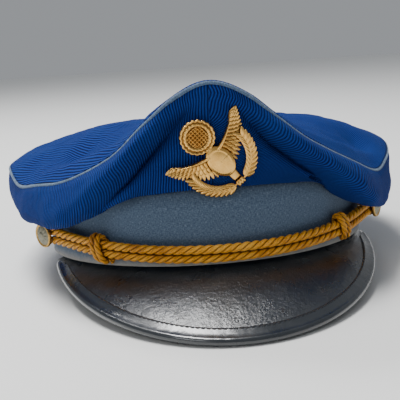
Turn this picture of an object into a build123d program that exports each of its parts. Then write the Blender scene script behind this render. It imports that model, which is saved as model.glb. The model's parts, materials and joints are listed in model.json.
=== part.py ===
from build123d import *
from math import atan2, acos, cos, degrees, exp, hypot, radians, sin, sqrt, tan
import os

# A peaked service cap. It is drawn as it is worn: the band's lower edge lies in z = 0, +Z is up and
# the visor points along -Y. "Turn" is an angle round the upright axis: 0 at the front, +90 at +X.
# At the end the whole cap is tipped to the way it rests, on the visor's edge and the band's back.

# ---------------------------------------------------------------- driving dimensions, mm and degrees
band_half_length = 103.5      # outside of the band, front to axis
band_half_width = 97.0        # outside of the band, side to axis
band_end_radius = 88.0        # front and back arcs of the band's oval
band_front_height = 39.5
band_back_height = 32.5
cloth = 1.6                   # one layer of wool
fold_height = 1.0             # the band cloth turned under at the lower edge
board = 1.4                   # fibre stiffener in the band
sweat_leather = 1.2
layer_gap = 0.1               # between layers that only lie against each other
reed_radius = 0.7

edge_front = 113.5            # crown edge in plan: front, back and side
edge_back = 138.0
edge_half_width = 119.5
edge_side_height = 42.5       # the crown edge at its lowest, over the temples
edge_front_rise = 47.5        # how much higher the stiffened front stands
edge_front_spread = 24.0      # half width of that rise, degrees
edge_back_rise = 22.0
edge_low_turn = 55.0          # where the edge is lowest
crown_middle_height = 76.0    # the soft top in its middle
top_rise_power = 3.2          # how late the top rises towards its edge
piping_radius = 1.5
roll_out = (8.0, 13.5, 12.5)  # how far the soft side bulges out at 1/4, 1/2 and 3/4 of its height
roll_down = (12.0, 14.0, 9.0)  # and how far it droops
roll_spread = 28.0            # degrees from the front over which the droop sets in

visor_depth = 47.0            # forward of the band
visor_half_width = 93.0
visor_root = 21.0             # the visor's ends lie this far forward of the axis
visor_drop = 24.5
visor_drop_power = 1.14
visor_camber = 2.6
visor_end_turn = 69.0
visor_layers = (0.9, 1.0, 0.6)  # patent leather, fibre, lining leather
binding = 0.7
binding_gap = 0.25
binding_flange = 4.5
binding_end_turn = 65.0

cord_radius = 2.2
cord_spread = 2.3             # each run above or below the cord's middle height
cord_height = 10.3
cord_rise = 8.0                 # degrees the whole cord is tipped, lower across the front
cord_tip_forward = 80.0         # how far in front of the cap's axis it is tipped
cord_stand = 2.2              # free space between the cord and the band
cord_leave_turn = 52.0        # where the cord leaves the band in a straight line to its button
cord_tail = 28.0
cord_loop_radius = 3.7
cord_bend_radius = 14.0
knot_turn = 42.0
knot_spread = 4.6             # degrees the knot covers
knot_wall = 1.1
fit_gap = 0.3                 # between pieces that move past each other

button_radius = 7.0
button_disc_radius = 6.4
button_disc = 0.8
button_dome_radius = 12.7
button_rim = 1.4                # width of the rolled rim round the dome
button_post_radius = 1.2
button_nut_radius = 4.5
button_nut = 2.4
button_nut_start = 15.7       # from the middle of the cord loop, inward along the post
eyelet_radius = 2.4
eyelet_wall = 0.4

badge_height = 57.5
badge_stand = 1.7
badge_plate = 1.3
badge_turn = 38.0             # the badge stands turned on its post
badge_post_radius = 1.5
badge_nut_radius = 6.0
badge_nut = 2.6
badge_eyelet_radius = 1.8

# ---------------------------------------------------------------- worked out from them
side_radius = ((band_half_length**2 + band_half_width**2 - 2 * band_half_length * band_end_radius)
               / (2 * (band_half_width - band_end_radius)))
side_shift = side_radius - band_half_width        # side arc centres, across the axis
end_shift = band_half_length - band_end_radius    # end arc centres, along the axis
arc_join = degrees(atan2(side_shift, end_shift))  # turn at which side and end arcs meet
wall = cloth + board + layer_gap + sweat_leather
band_middle_height = (band_front_height + band_back_height) / 2
band_slope = (band_front_height - band_back_height) / (2 * band_half_length)
edge_centre = (edge_back - edge_front) / 2
edge_half_length = (edge_back + edge_front) / 2
visor_thickness = sum(visor_layers)
visor_half_length = band_half_length + visor_depth - visor_root


def out_vector(turn):
    return Vector(sin(radians(turn)), -cos(radians(turn)), 0)


def radial_plane(turn, x=0.0):
    """Upright plane through (x, 0): its x runs outward at the turn and its y runs up."""
    out = out_vector(turn)
    return Plane(origin=(x, 0, 0), x_dir=out, z_dir=out.cross(Vector(0, 0, 1)))


def band_reach(turn, inset=0.0):
    """Distance from the axis to the band's four-arc oval, moved in by an inset."""
    across = abs(sin(radians(turn)))
    along = abs(cos(radians(turn)))
    end_arc = band_end_radius - inset
    side_arc = side_radius - inset
    join = out_vector(arc_join) * end_arc
    if across * (end_shift - join.Y) < along * join.X:
        return end_shift * along + sqrt(end_arc**2 - (end_shift * across)**2)
    return sqrt(side_arc**2 - (side_shift * along)**2) - side_shift * across


def ellipse_reach(turn, half_width, half_length, forward):
    """Distance from the axis to an ellipse whose centre lies forward of it."""
    across = sin(radians(turn)) / half_width
    along = cos(radians(turn)) / half_length
    a = across**2 + along**2
    b = along * forward / half_length
    c = (forward / half_length)**2 - 1
    return (b + sqrt(b * b - a * c)) / a


def edge_reach(turn):
    return ellipse_reach(turn, edge_half_width, edge_half_length, -edge_centre)


def edge_height(turn):
    """Height of the crown's edge: a peak over the stiffened front, low sides, a raised back."""
    peak = edge_front_rise * exp(-(turn / edge_front_spread)**2)
    back = max(0.0, abs(turn) - edge_low_turn) / (180 - edge_low_turn)
    return edge_side_height + peak + edge_back_rise * (1 - cos(radians(180 * back))) / 2


def top_height(x, y):
    """Height of the crown's soft top: low in the middle, rising to its edge."""
    turn = degrees(atan2(x, -y))
    out = hypot(x, y) / edge_reach(turn)
    return crown_middle_height + (edge_height(turn) - crown_middle_height) * out**top_rise_power


def side_profile(turn, depth, deepest=5.0):
    """Points up the crown's side at a turn, from the band seam to under the top, sunk by a depth."""
    foot = band_reach(turn), band_middle_height + band_slope * band_reach(turn) * cos(radians(turn))
    head_reach = edge_reach(turn) - piping_radius
    inside = out_vector(turn) * (head_reach - deepest)
    head = head_reach, min(edge_height(turn), top_height(inside.X, inside.Y)) - cloth - 2 * layer_gap
    droop = 1 - exp(-(turn / roll_spread)**2)
    outer = [foot]
    for part, out, down in zip((0.25, 0.5, 0.75), roll_out, roll_down):
        outer.append((foot[0] + part * (head[0] - foot[0]) + droop * out,
                      foot[1] + part * (head[1] - foot[1]) - droop * down))
    outer.append(head)
    sunk = []
    for i, (r, z) in enumerate(outer):
        before, after = outer[max(i - 1, 0)], outer[min(i + 1, 4)]
        run, rise = after[0] - before[0], after[1] - before[1]
        length = hypot(run, rise)
        sunk.append((r - depth * rise / length, z + depth * run / length))
    return sunk


def side_panel(first_turn, last_turn, depth, thickness, step=15):
    """A strip of the crown's side between two turns, lofted through upright sections."""
    count = round((last_turn - first_turn) / step)
    with BuildPart() as panel:
        for i in range(count + 1):
            turn = first_turn + (last_turn - first_turn) * i / count
            with BuildSketch(radial_plane(turn)):
                with BuildLine():
                    outer = Spline(*side_profile(turn, depth))
                    inner = Spline(*side_profile(turn, depth + thickness))
                    Line(outer @ 0, inner @ 0)
                    Line(outer @ 1, inner @ 1)
                make_face()
        loft()
    return panel


def oval(inset):
    """The band's oval as a face: two end arcs and two side arcs."""
    end_arc = band_end_radius - inset
    side_arc = side_radius - inset
    with BuildSketch() as face:
        with BuildLine():
            for side in (1, -1):
                CenterArc((0, -side * end_shift), end_arc, 270 * side - arc_join, 2 * arc_join)
                CenterArc((-side * side_shift, 0), side_arc, 90 - 90 * side - 90 + arc_join, 180 - 2 * arc_join)
        make_face()
    return face.sketch


def band_ring(outer_inset, inner_inset, bottom, below_top=0.0):
    """A ring of the band's wall, cut by the band's sloping top."""
    top = Plane(origin=(0, 0, band_middle_height - below_top), z_dir=(0, band_slope, 1))
    with BuildPart() as ring:
        extrude(Location((0, 0, bottom)) * oval(outer_inset), amount=60)
        extrude(Location((0, 0, bottom)) * oval(inner_inset), amount=60, mode=Mode.SUBTRACT)
        split(bisect_by=top, keep=Keep.BOTTOM)
    return ring


def top_sheet(below, thickness, half_width, half_length, centre):
    """A sheet under the crown's top surface, cut to an ellipse."""
    with BuildPart() as sheet:
        for y in range(-120, 161, 20):
            with BuildSketch(Plane(origin=(0, y, 0), x_dir=(1, 0, 0), z_dir=(0, -1, 0))):
                with BuildLine():
                    upper = Spline(*[(x, top_height(x, y) - below) for x in range(-126, 127, 18)])
                    lower = Spline(*[(x, top_height(x, y) - below - thickness) for x in range(-126, 127, 18)])
                    Line(upper @ 0, lower @ 0)
                    Line(upper @ 1, lower @ 1)
                make_face()
        loft()
        with BuildSketch(Plane((0, centre, 0))) as outline:
            Ellipse(half_width, half_length)
        extrude(outline.sketch, amount=150, mode=Mode.INTERSECT)
    return sheet


# ---------------------------------------------------------------- badge place
# The front is straight in profile and leans forward, and the badge's post stands square to it.
(front_foot, front_foot_height), (front_head, front_head_height) = (side_profile(0, 0)[end] for end in (0, -1))
front_lean = degrees(atan2(front_head - front_foot, front_head_height - front_foot_height))
badge_reach = band_half_length + (badge_height - band_front_height) * tan(radians(front_lean))
badge_axis = Vector(0, -cos(radians(front_lean)), -sin(radians(front_lean)))
badge_face = Plane(origin=(0, -badge_reach, badge_height), x_dir=(1, 0, 0), z_dir=badge_axis)


def punch(panel, radius):
    """Punch the hole of the badge's post through a panel of the front."""
    with BuildPart() as punched:
        add(panel.part)
        with BuildSketch(badge_face):
            Circle(radius)
        extrude(amount=20, both=True, mode=Mode.SUBTRACT)
    return punched


# ---------------------------------------------------------------- crown
eyelet_outside = badge_eyelet_radius + eyelet_wall
quarter_front_left = punch(side_panel(-90, 0, 0, cloth, 7.5), eyelet_outside)
quarter_front_right = punch(side_panel(0, 90, 0, cloth, 7.5), eyelet_outside)
quarter_back_left = side_panel(-180, -90, 0, cloth)
quarter_back_right = side_panel(90, 180, 0, cloth)

crown_top = top_sheet(0, cloth, edge_half_width - piping_radius, edge_half_length - piping_radius, edge_centre)

# Buckram behind the front, and the upright spring stay that holds it up.
stiffener_depth = cloth + 5 * layer_gap
front_stiffener = punch(side_panel(-22.5, 22.5, stiffener_depth, 0.8, 7.5), eyelet_outside)
stay_depth = stiffener_depth + 0.8 + 2 * layer_gap
front_stay = punch(side_panel(-3.75, 3.75, stay_depth, 0.6, 3.75), eyelet_outside)

# Satin lining, with an opening behind the badge's nut, and the clear shield on its top.
lining_depth = stay_depth + 0.6 + layer_gap
lining = 0.4
with BuildPart() as lining_ring:
    for start in (-180, -90, 0, 90):
        sections = []
        for i in range(7):
            turn = start + 15 * i
            (foot_r, foot_z), (head_r, head_z) = (side_profile(turn, 0)[end] for end in (0, -1))
            with BuildSketch(radial_plane(turn)) as section:
                with BuildLine():
                    Polyline((foot_r - lining_depth, foot_z + 0.5), (head_r - lining_depth - 1, head_z - 2.2),
                             (head_r - lining_depth - 1 - lining, head_z - 2.2),
                             (foot_r - lining_depth - lining, foot_z + 0.5), close=True)
                make_face()
            sections.append(section.sketch)
        loft(sections)
lining_side = punch(lining_ring, badge_nut_radius + 2)
lining_top = top_sheet(cloth + 1.2, 0.4, edge_half_width - 7, edge_half_length - 7, edge_centre)
sweat_shield = top_sheet(cloth + 1.8, 0.3, 52, 68, 0)


def edge_point(turn):
    return out_vector(turn) * edge_reach(turn) + Vector(0, 0, edge_height(turn))


# The piping is a round cord all along the crown's edge, made in four lengths.
with BuildPart() as crown_piping:
    for start in (-180, -90, 0, 90):
        sections = []
        for i in range(16):
            turn = start + 6 * i
            heading = edge_point(turn + 0.05) - edge_point(turn - 0.05)
            with BuildSketch(Plane(origin=edge_point(turn), z_dir=heading)) as section:
                Circle(piping_radius)
            sections.append(section.sketch)
        loft(sections)

# ---------------------------------------------------------------- band
with BuildPart() as band_cloth:
    add(band_ring(0, cloth, 0).part)
    extrude(oval(cloth), amount=fold_height)
    extrude(oval(wall), amount=fold_height, mode=Mode.SUBTRACT)

band_stiffener = band_ring(cloth, cloth + board, fold_height, 0.5)
sweatband = band_ring(wall - sweat_leather, wall, fold_height + 2 * reed_radius + layer_gap, 2)

reed_inset = wall - sweat_leather / 2
with BuildPart() as sweatband_reed:
    with BuildLine(Plane.XY.offset(fold_height + reed_radius)) as reed_path:
        add(oval(reed_inset).wire())
    with BuildSketch(Plane(origin=(0, reed_inset - band_half_length, fold_height + reed_radius),
                           z_dir=(1, 0, 0))):
        Circle(reed_radius)
    sweep(path=reed_path.line)

# A small flat bow is sewn to the sweatband at the back.
bow_plane = Plane(origin=(0, band_half_length - wall - 0.8, 20), x_dir=(1, 0, 0), z_dir=(0, -1, 0))
with BuildPart() as sweatband_bow:
    with BuildSketch(bow_plane):
        with Locations((-5, 0), (5, 0)):
            Ellipse(5, 3.2)
        Circle(1.8)
    extrude(amount=1.2)


# ---------------------------------------------------------------- visor
def visor_reach(turn):
    return ellipse_reach(turn, visor_half_width, visor_half_length, visor_root)


def visor_edge_height(turn):
    forward = (visor_reach(turn) * cos(radians(turn)) - visor_root) / visor_half_length
    return -layer_gap - visor_drop * forward**visor_drop_power


def visor_height(turn, reach):
    """Height of the visor's top face: it slopes from the band to its edge with a slight camber."""
    inner = band_reach(turn, wall)
    part = (reach - inner) / (visor_reach(turn) - inner)
    camber = visor_camber * cos(radians(turn)) * 4 * part * (1 - part)
    return -layer_gap + part * (visor_edge_height(turn) + layer_gap) + camber - visor_camber * cos(
        radians(turn)) * 4 * (1 - part) * min(part, visor_root_part(turn))


def visor_root_part(turn):
    """The share of the visor that lies under the band, where it has to stay flat."""
    inner = band_reach(turn, wall)
    return (band_reach(turn) - inner) / (visor_reach(turn) - inner)


def visor_layer(depth, thickness):
    with BuildPart() as layer:
        for i in range(13):
            turn = visor_end_turn * (i / 6 - 1)
            inner = band_reach(turn, wall)
            outer = visor_reach(turn)
            stations = [inner + (outer - inner) * part for part in (0, 0.33, 0.67, 1)]
            with BuildSketch(radial_plane(turn)):
                with BuildLine():
                    upper = Spline(*[(r, visor_height(turn, r) - depth) for r in stations])
                    lower = Spline(*[(r, visor_height(turn, r) - depth - thickness) for r in stations])
                    Line(upper @ 0, lower @ 0)
                    Line(upper @ 1, lower @ 1)
                make_face()
        loft()
    return layer


visor_shell = visor_layer(0, visor_layers[0])
visor_core = visor_layer(visor_layers[0], visor_layers[1])
visor_lining = visor_layer(visor_layers[0] + visor_layers[1], visor_layers[2])

# The binding is a strip of leather folded round the visor's edge.
binding_low = visor_thickness + binding_gap + binding
with BuildPart() as visor_binding:
    for i in range(13):
        turn = binding_end_turn * (i / 6 - 1)
        rim = visor_reach(turn) + binding_gap
        flange = rim - min(binding_flange, 0.8 * (rim - band_reach(turn)))
        rim_z, flange_z = visor_edge_height(turn), visor_height(turn, flange)
        half = visor_thickness / 2 + binding_gap + binding
        middle = rim_z - visor_thickness / 2
        with BuildSketch(radial_plane(turn)):
            with BuildLine():
                Polyline((rim, middle + half), (flange, flange_z + binding_gap + binding),
                         (flange, flange_z + binding_gap), (rim, rim_z + binding_gap),
                         (rim, rim_z - visor_thickness - binding_gap),
                         (flange, flange_z - visor_thickness - binding_gap),
                         (flange, flange_z - binding_low), (rim, middle - half))
                ThreePointArc((rim, middle - half), (rim + binding + 0.8, middle), (rim, middle + half))
            make_face()
    loft()

# ---------------------------------------------------------------- chin cord, knots and side buttons
cord_inset = -(cord_stand + cord_radius)
cord_side_radius = side_radius - cord_inset
cord_end_radius = band_end_radius - cord_inset
tip_middle = Vector(0, -cord_tip_forward, cord_height)
cord_tip = Location(tip_middle) * Rotation(cord_rise, 0, 0) * Location(-tip_middle)


def stand(made, location):
    with BuildPart() as stood:
        add(location * made.part)
    return stood


def level_loop_place(side):
    """Plane through the cord's end loop before the cord is tipped: x away from the front."""
    out = out_vector(side * cord_leave_turn)
    along = Vector(side * cos(radians(cord_leave_turn)), sin(radians(cord_leave_turn)), 0)
    leave = out * cord_side_radius + Vector(-side * side_shift, 0, cord_height)
    return Plane(origin=leave + along * cord_tail, x_dir=along, z_dir=along.cross(Vector(0, 0, 1)))


def side_button_place(side):
    """Plane through the tipped cord's end loop, with its origin on the button's post."""
    return Plane(cord_tip * level_loop_place(side).location)


def outward(side):
    """+1 where the place's z points away from the cap, -1 where it points in."""
    return 1 if side_button_place(side).z_dir.dot(out_vector(side * cord_leave_turn)) > 0 else -1


# Each run follows the band in three arcs; at both ends the cord goes straight on, spreads and
# turns round the post of its button, so that the whole cord is one closed loop.
bend = degrees(acos(1 - (cord_loop_radius - cord_spread) / (2 * cord_bend_radius)))
bend_length = 2 * cord_bend_radius * sin(radians(bend))
cord_edges = []
for level in (cord_spread, -cord_spread):
    with BuildLine(Plane.XY.offset(cord_height + level)) as run:
        CenterArc((0, -end_shift), cord_end_radius, 270 - arc_join, 2 * arc_join)
        CenterArc((side_shift, 0), cord_side_radius, 270 - cord_leave_turn, cord_leave_turn - arc_join)
        CenterArc((-side_shift, 0), cord_side_radius, 270 + arc_join, cord_leave_turn - arc_join)
    cord_edges += run.edges()
for side in (-1, 1):
    with BuildLine(level_loop_place(side)) as end:
        Line((-cord_tail, cord_spread), (-bend_length, cord_spread))
        rise = JernArc((-bend_length, cord_spread), (1, 0), cord_bend_radius, bend)
        level_out = JernArc(rise @ 1, rise % 1, cord_bend_radius, -bend)
        turn_back = JernArc(level_out @ 1, level_out % 1, cord_loop_radius, -180)
        fall = JernArc(turn_back @ 1, turn_back % 1, cord_bend_radius, -bend)
        JernArc(fall @ 1, fall % 1, cord_bend_radius, bend)
        Line((-bend_length, -cord_spread), (-cord_tail, -cord_spread))
    cord_edges += end.edges()

with BuildPart() as level_cord:
    with BuildSketch(Plane(origin=(0, -band_half_length + cord_inset, cord_height + cord_spread), z_dir=(1, 0, 0))):
        Circle(cord_radius)
    sweep(path=Wire(cord_edges))
chin_cord = stand(level_cord, cord_tip)


def knot(side):
    """A collar of cord round both runs, curved like the run it slides along."""
    hole_width = 2 * (cord_radius + fit_gap)
    hole_height = hole_width + 2 * cord_spread
    start = side * (knot_turn - knot_spread / 2) if side > 0 else -knot_turn - knot_spread / 2
    with BuildPart() as collar:
        with BuildSketch(radial_plane(start, -side * side_shift)) as section:
            with Locations((cord_side_radius, cord_height)):
                RectangleRounded(hole_width + 2 * knot_wall, hole_height + 2 * knot_wall, 3.3)
                RectangleRounded(hole_width, hole_height, 2.4, mode=Mode.SUBTRACT)
        revolve(axis=Axis((-side * side_shift, 0, 0), (0, 0, 1)), revolution_arc=knot_spread)
    return collar


knot_left = stand(knot(-1), cord_tip)
knot_right = stand(knot(1), cord_tip)


def button_cap():
    """Domed front of a side button, with its rolled rim, made along +Z."""
    back = cord_radius + fit_gap
    inside = back + button_disc + 2 * layer_gap
    dome = button_radius - button_rim
    rise = button_dome_radius - sqrt(button_dome_radius**2 - dome**2)
    middle_rise = rise - button_dome_radius + sqrt(button_dome_radius**2 - (dome / 2)**2)
    dome_foot = inside + 0.9
    with BuildPart() as cap:
        with BuildSketch(Plane.XZ):
            with BuildLine():
                Polyline((0, dome_foot + rise), (0, inside), (button_disc_radius + layer_gap, inside),
                         (button_disc_radius + layer_gap, back), (button_radius, back),
                         (button_radius, inside + 0.8), (button_radius - 0.5, inside + 1.3), (dome, dome_foot))
                ThreePointArc((dome, dome_foot), (dome / 2, dome_foot + middle_rise), (0, dome_foot + rise))
            make_face()
        revolve(axis=Axis.Z)
    return cap


def button_back():
    """Disc behind the button with the screw post that the cord loops round, made along +Z."""
    back = cord_radius + fit_gap
    with BuildPart() as disc:
        with BuildSketch(Plane.XY.offset(back + layer_gap)):
            Circle(button_disc_radius)
        extrude(amount=button_disc)
        with BuildSketch(Plane.XY.offset(back + layer_gap)):
            Circle(button_post_radius)
        extrude(amount=-(back + button_nut_start + button_nut + 1))
    return disc


def knurled_nut(radius, bore, thickness, ridges):
    """A thin round nut with a ridged edge, its face in z = 0 and its body below."""
    with BuildPart() as nut:
        with BuildSketch():
            Circle(radius)
            with PolarLocations(radius, ridges):
                Circle(radius / 14, mode=Mode.SUBTRACT)
            Circle(bore, mode=Mode.SUBTRACT)
        extrude(amount=-thickness)
    return nut


def side_button_frame(side):
    """Location that stands a button made along +Z on its post's axis."""
    place = side_button_place(side)
    return Plane(origin=place.origin, x_dir=place.x_dir, z_dir=place.z_dir * outward(side)).location


def eyelet_place(side):
    """Plane square to the band where the post's axis crosses the middle of its wall."""
    place = side_button_place(side)
    inward = place.z_dir * -outward(side)
    level_inward = Vector(inward.X, inward.Y, 0)
    offset = Vector(place.origin.X + side * side_shift, place.origin.Y, 0)
    radius = side_radius - wall / 2
    steepness = level_inward.dot(level_inward)
    along = offset.dot(level_inward)
    reach = (-along - sqrt(along**2 - steepness * (offset.dot(offset) - radius**2))) / steepness
    return Plane(origin=place.origin + inward * reach, z_dir=(offset + level_inward * reach).normalized())


def side_eyelet(side):
    """A metal grommet through all layers of the band."""
    half = wall / 2 + layer_gap
    outside = eyelet_radius + eyelet_wall
    with BuildPart() as grommet:
        with BuildSketch(eyelet_place(side)):
            Circle(outside)
        extrude(amount=half, both=True)
        for direction in (1, -1):
            with BuildSketch(eyelet_place(side).offset(direction * half)):
                Circle(outside + 1.6)
            extrude(amount=direction * eyelet_wall)
        with BuildSketch(eyelet_place(side)):
            Circle(eyelet_radius)
        extrude(amount=10, both=True, mode=Mode.SUBTRACT)
    return grommet


def pierce(layer):
    """Make room for the side eyelets in a layer of the band."""
    with BuildPart() as pierced:
        add(layer.part)
        for side in (-1, 1):
            with BuildSketch(eyelet_place(side)):
                Circle(eyelet_radius + eyelet_wall)
            extrude(amount=10, both=True, mode=Mode.SUBTRACT)
    return pierced


band_cloth = pierce(band_cloth)
band_stiffener = pierce(band_stiffener)
sweatband = pierce(sweatband)
side_eyelet_left = side_eyelet(-1)
side_eyelet_right = side_eyelet(1)

side_nut = knurled_nut(button_nut_radius, button_post_radius + 0.05, button_nut, 24)
nut_start = Location((0, 0, -button_nut_start))
button_left_cap = stand(button_cap(), side_button_frame(-1))
button_left_back = stand(button_back(), side_button_frame(-1))
button_left_nut = stand(side_nut, side_button_frame(-1) * nut_start)
button_right_cap = stand(button_cap(), side_button_frame(1))
button_right_back = stand(button_back(), side_button_frame(1))
button_right_nut = stand(side_nut, side_button_frame(1) * nut_start)

# ---------------------------------------------------------------- badge
badge_back = badge_face.offset(badge_stand)
badge_front = badge_back.offset(badge_plate)
badge_across = badge_face.x_dir * cos(radians(badge_turn)) + badge_face.y_dir * sin(radians(badge_turn))
badge_stand_turned = Plane(origin=badge_back.origin, x_dir=badge_across, z_dir=badge_axis)
badge_front_turned = Plane(origin=badge_front.origin, x_dir=badge_across, z_dir=badge_axis)

# Two wings: seven feathers each, fanned from the shoulder, and a bar that joins all parts.
with BuildPart() as badge_wings:
    with BuildSketch(badge_stand_turned):
        Rectangle(6, 30)
        for side in (-1, 1):
            for i in range(7):
                lean = 28 - 13 * i
                length = 23 - 1.5 * i
                middle = (side * (2 + length / 2 * cos(radians(lean))), 3 + length / 2 * sin(radians(lean)))
                with Locations(Location(middle, (0, 0, side * lean))):
                    Ellipse(length / 2, 1.9)
    extrude(amount=badge_plate)

with BuildPart() as badge_medallion:
    with BuildSketch(badge_front_turned):
        with Locations((0, 15)):
            Circle(7)
            with PolarLocations(7, 16):
                Circle(1.5)
    extrude(amount=1)

with BuildPart() as badge_boss:
    with BuildSketch(badge_front_turned):
        Ellipse(5, 6.5)
    extrude(amount=1.8)
    fillet(badge_boss.edges().group_by(Axis(badge_front.origin, badge_axis))[-1], 1.2)

with BuildPart() as badge_wreath:
    with BuildSketch(badge_front_turned):
        for side in (-1, 1):
            for i in range(6):
                bearing = radians(-90 + side * (14 + 16 * i))
                middle = (17 * cos(bearing), 17 * sin(bearing))
                with Locations(Location(middle, (0, 0, degrees(bearing) + side * 55))):
                    Ellipse(3.6, 1.5)
        with Locations((0, -15.5)):
            Rectangle(12, 2.4)
    extrude(amount=1)

badge_grip = lining_depth
with BuildPart() as badge_post:
    with BuildSketch(badge_back):
        Circle(badge_post_radius)
    extrude(amount=-(badge_stand + badge_grip + badge_nut + 1.5))

with BuildPart() as badge_eyelet:
    with BuildSketch(badge_face.offset(2 * layer_gap)):
        Circle(eyelet_outside + 1.4)
    extrude(amount=eyelet_wall)
    with BuildSketch(badge_face.offset(2 * layer_gap)):
        Circle(eyelet_outside)
    extrude(amount=-badge_grip)
    with BuildSketch(badge_face):
        Circle(badge_eyelet_radius)
    extrude(amount=10, both=True, mode=Mode.SUBTRACT)

with BuildPart() as badge_eyelet_washer:
    with BuildSketch(badge_face.offset(-badge_grip)):
        Circle(eyelet_outside + 1.8)
        Circle(badge_eyelet_radius, mode=Mode.SUBTRACT)
    extrude(amount=-eyelet_wall)

badge_nut_place = badge_face.offset(-badge_grip - eyelet_wall - fit_gap).location
badge_nut_piece = knurled_nut(badge_nut_radius, badge_post_radius + 0.05, badge_nut, 30)
badge_nut_part = stand(badge_nut_piece, badge_nut_place)

# ---------------------------------------------------------------- set at rest and write
pieces = {
    "quarter_front_left": quarter_front_left, "quarter_front_right": quarter_front_right,
    "quarter_back_left": quarter_back_left, "quarter_back_right": quarter_back_right,
    "crown_top": crown_top, "crown_piping": crown_piping, "front_stiffener": front_stiffener,
    "front_stay": front_stay, "lining_side": lining_side, "lining_top": lining_top,
    "sweat_shield": sweat_shield, "badge_eyelet": badge_eyelet,
    "badge_eyelet_washer": badge_eyelet_washer, "band_cloth": band_cloth,
    "band_stiffener": band_stiffener, "sweatband": sweatband, "sweatband_reed": sweatband_reed,
    "sweatband_bow": sweatband_bow, "side_eyelet_left": side_eyelet_left,
    "side_eyelet_right": side_eyelet_right, "visor_shell": visor_shell, "visor_core": visor_core,
    "visor_lining": visor_lining, "visor_binding": visor_binding, "chin_cord": chin_cord,
    "knot_left": knot_left, "knot_right": knot_right, "button_left_cap": button_left_cap,
    "button_left_back": button_left_back, "button_left_nut": button_left_nut,
    "button_right_cap": button_right_cap, "button_right_back": button_right_back,
    "button_right_nut": button_right_nut, "badge_wings": badge_wings,
    "badge_medallion": badge_medallion, "badge_boss": badge_boss, "badge_wreath": badge_wreath,
    "badge_post": badge_post, "badge_nut": badge_nut_part,
}

# The cap rests on the lower edge of the visor's binding and on the band's back.
rest_low = visor_thickness + binding_gap + binding - visor_edge_height(0)
rest_tilt = degrees(atan2(rest_low, band_half_length + visor_reach(0) + binding_gap))
tipped = Rotation(-rest_tilt, 0, 0)
whole = Compound(children=[tipped * piece.part for piece in pieces.values()]).bounding_box()
to_origin = Location((-(whole.min.X + whole.max.X) / 2, -(whole.min.Y + whole.max.Y) / 2, -whole.min.Z))
rest = to_origin * tipped

os.makedirs("parts", exist_ok=True)
for name, piece in pieces.items():
    piece.part.move(rest)
    piece.part.label = name
    export_step(piece.part, f"parts/{name}.step")
print("rest tilt", round(rest_tilt, 3), "origin", rest)
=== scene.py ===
# %% [markdown]
# # A soft-topped peaked cap
#
# This lesson dresses the frame of a uniform cap: a wool crown that droops at the sides, a
# stiffened front, a grey band, a patent leather visor, a gold chin cord with two sliding knots,
# two side buttons and a gilt badge. Everything is worked out in millimetres on the cap as it is
# worn, with the band's lower edge flat at height 0 and the visor pointing along -Y, and is then
# carried to where the cap rests, tipped back on its visor.

# %% Load the frame
import bpy
import bmesh
import json
import math
import numpy as np
from mathutils import Matrix, Vector, noise


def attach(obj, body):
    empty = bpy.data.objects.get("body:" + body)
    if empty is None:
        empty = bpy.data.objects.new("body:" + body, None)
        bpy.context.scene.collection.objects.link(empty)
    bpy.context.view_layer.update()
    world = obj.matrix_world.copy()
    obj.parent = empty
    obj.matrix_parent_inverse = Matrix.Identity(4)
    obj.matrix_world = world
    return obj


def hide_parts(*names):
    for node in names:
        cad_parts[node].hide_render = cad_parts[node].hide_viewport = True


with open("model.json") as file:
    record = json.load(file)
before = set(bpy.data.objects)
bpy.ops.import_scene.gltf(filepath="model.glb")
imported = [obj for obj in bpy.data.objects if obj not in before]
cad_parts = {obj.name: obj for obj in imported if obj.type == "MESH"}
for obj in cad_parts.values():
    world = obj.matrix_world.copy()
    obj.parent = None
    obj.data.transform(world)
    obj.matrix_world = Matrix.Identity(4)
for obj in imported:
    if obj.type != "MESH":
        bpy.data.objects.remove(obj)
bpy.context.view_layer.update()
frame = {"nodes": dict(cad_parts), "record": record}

# %% [markdown]
# ## From the worn cap to the resting cap
#
# Both chin cord knots slide on arcs about axes that stand square to the cord's own plane. The
# cord is tipped, lower across the front, so turning that direction back by the tip gives the
# cap's "up". The middle between the two axes, taken back in the same way, gives the centre of
# the band's lower edge. One matrix made from those carries millimetres on the worn cap to metres
# in the resting frame.

# %% Worn cap to row frame
MM = 0.001
CORD_HEIGHT = 10.3
CORD_RISE = math.radians(8.0)
CORD_TIP_MIDDLE = np.array([0.0, -80.0, CORD_HEIGHT])
cord_turn = np.array(Matrix.Rotation(CORD_RISE, 3, "X"))


def tip(points):
    """Tip points on the worn cap, given for a level cord, into the cord's own plane."""
    return (np.asarray(points, float) - CORD_TIP_MIDDLE) @ cord_turn.T + CORD_TIP_MIDDLE


joints = {joint["name"]: joint for joint in frame["record"]["behaviour"]["joints"]}
cord_axis = Vector(joints["knot_left_slide"]["axis"]).normalized()
cap_up = Matrix.Rotation(-CORD_RISE, 3, "X") @ cord_axis
cap_across = Vector((1, 0, 0))
cap_back = cap_up.cross(cap_across)
cord_middle = (Vector(joints["knot_left_slide"]["pos_m"]) + Vector(joints["knot_right_slide"]["pos_m"])) / 2
turn_to_row = np.array(Matrix((cap_across, cap_back, cap_up)).transposed())
cap_seat = np.array(cord_middle) - tip([0, 0, CORD_HEIGHT]) @ turn_to_row.T * MM


def to_row(points):
    """Carry points on the worn cap, in millimetres, to metres in the resting frame."""
    return np.asarray(points, float) @ turn_to_row.T * MM + cap_seat


print("cap tipped back by", round(math.degrees(math.atan2(cap_up.y, cap_up.z)), 2), "degrees")

# %% [markdown]
# ## Small tools for sheets
#
# Most pieces here are a sheet: rows of points that are joined by quads. `grid_piece` makes such a
# mesh from a block of points and a block of pattern coordinates, and `finish_piece` gives it a
# smooth surface, its material and the body it rides on. Building the grids by formula keeps every
# edge loop where the real seam is.

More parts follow.
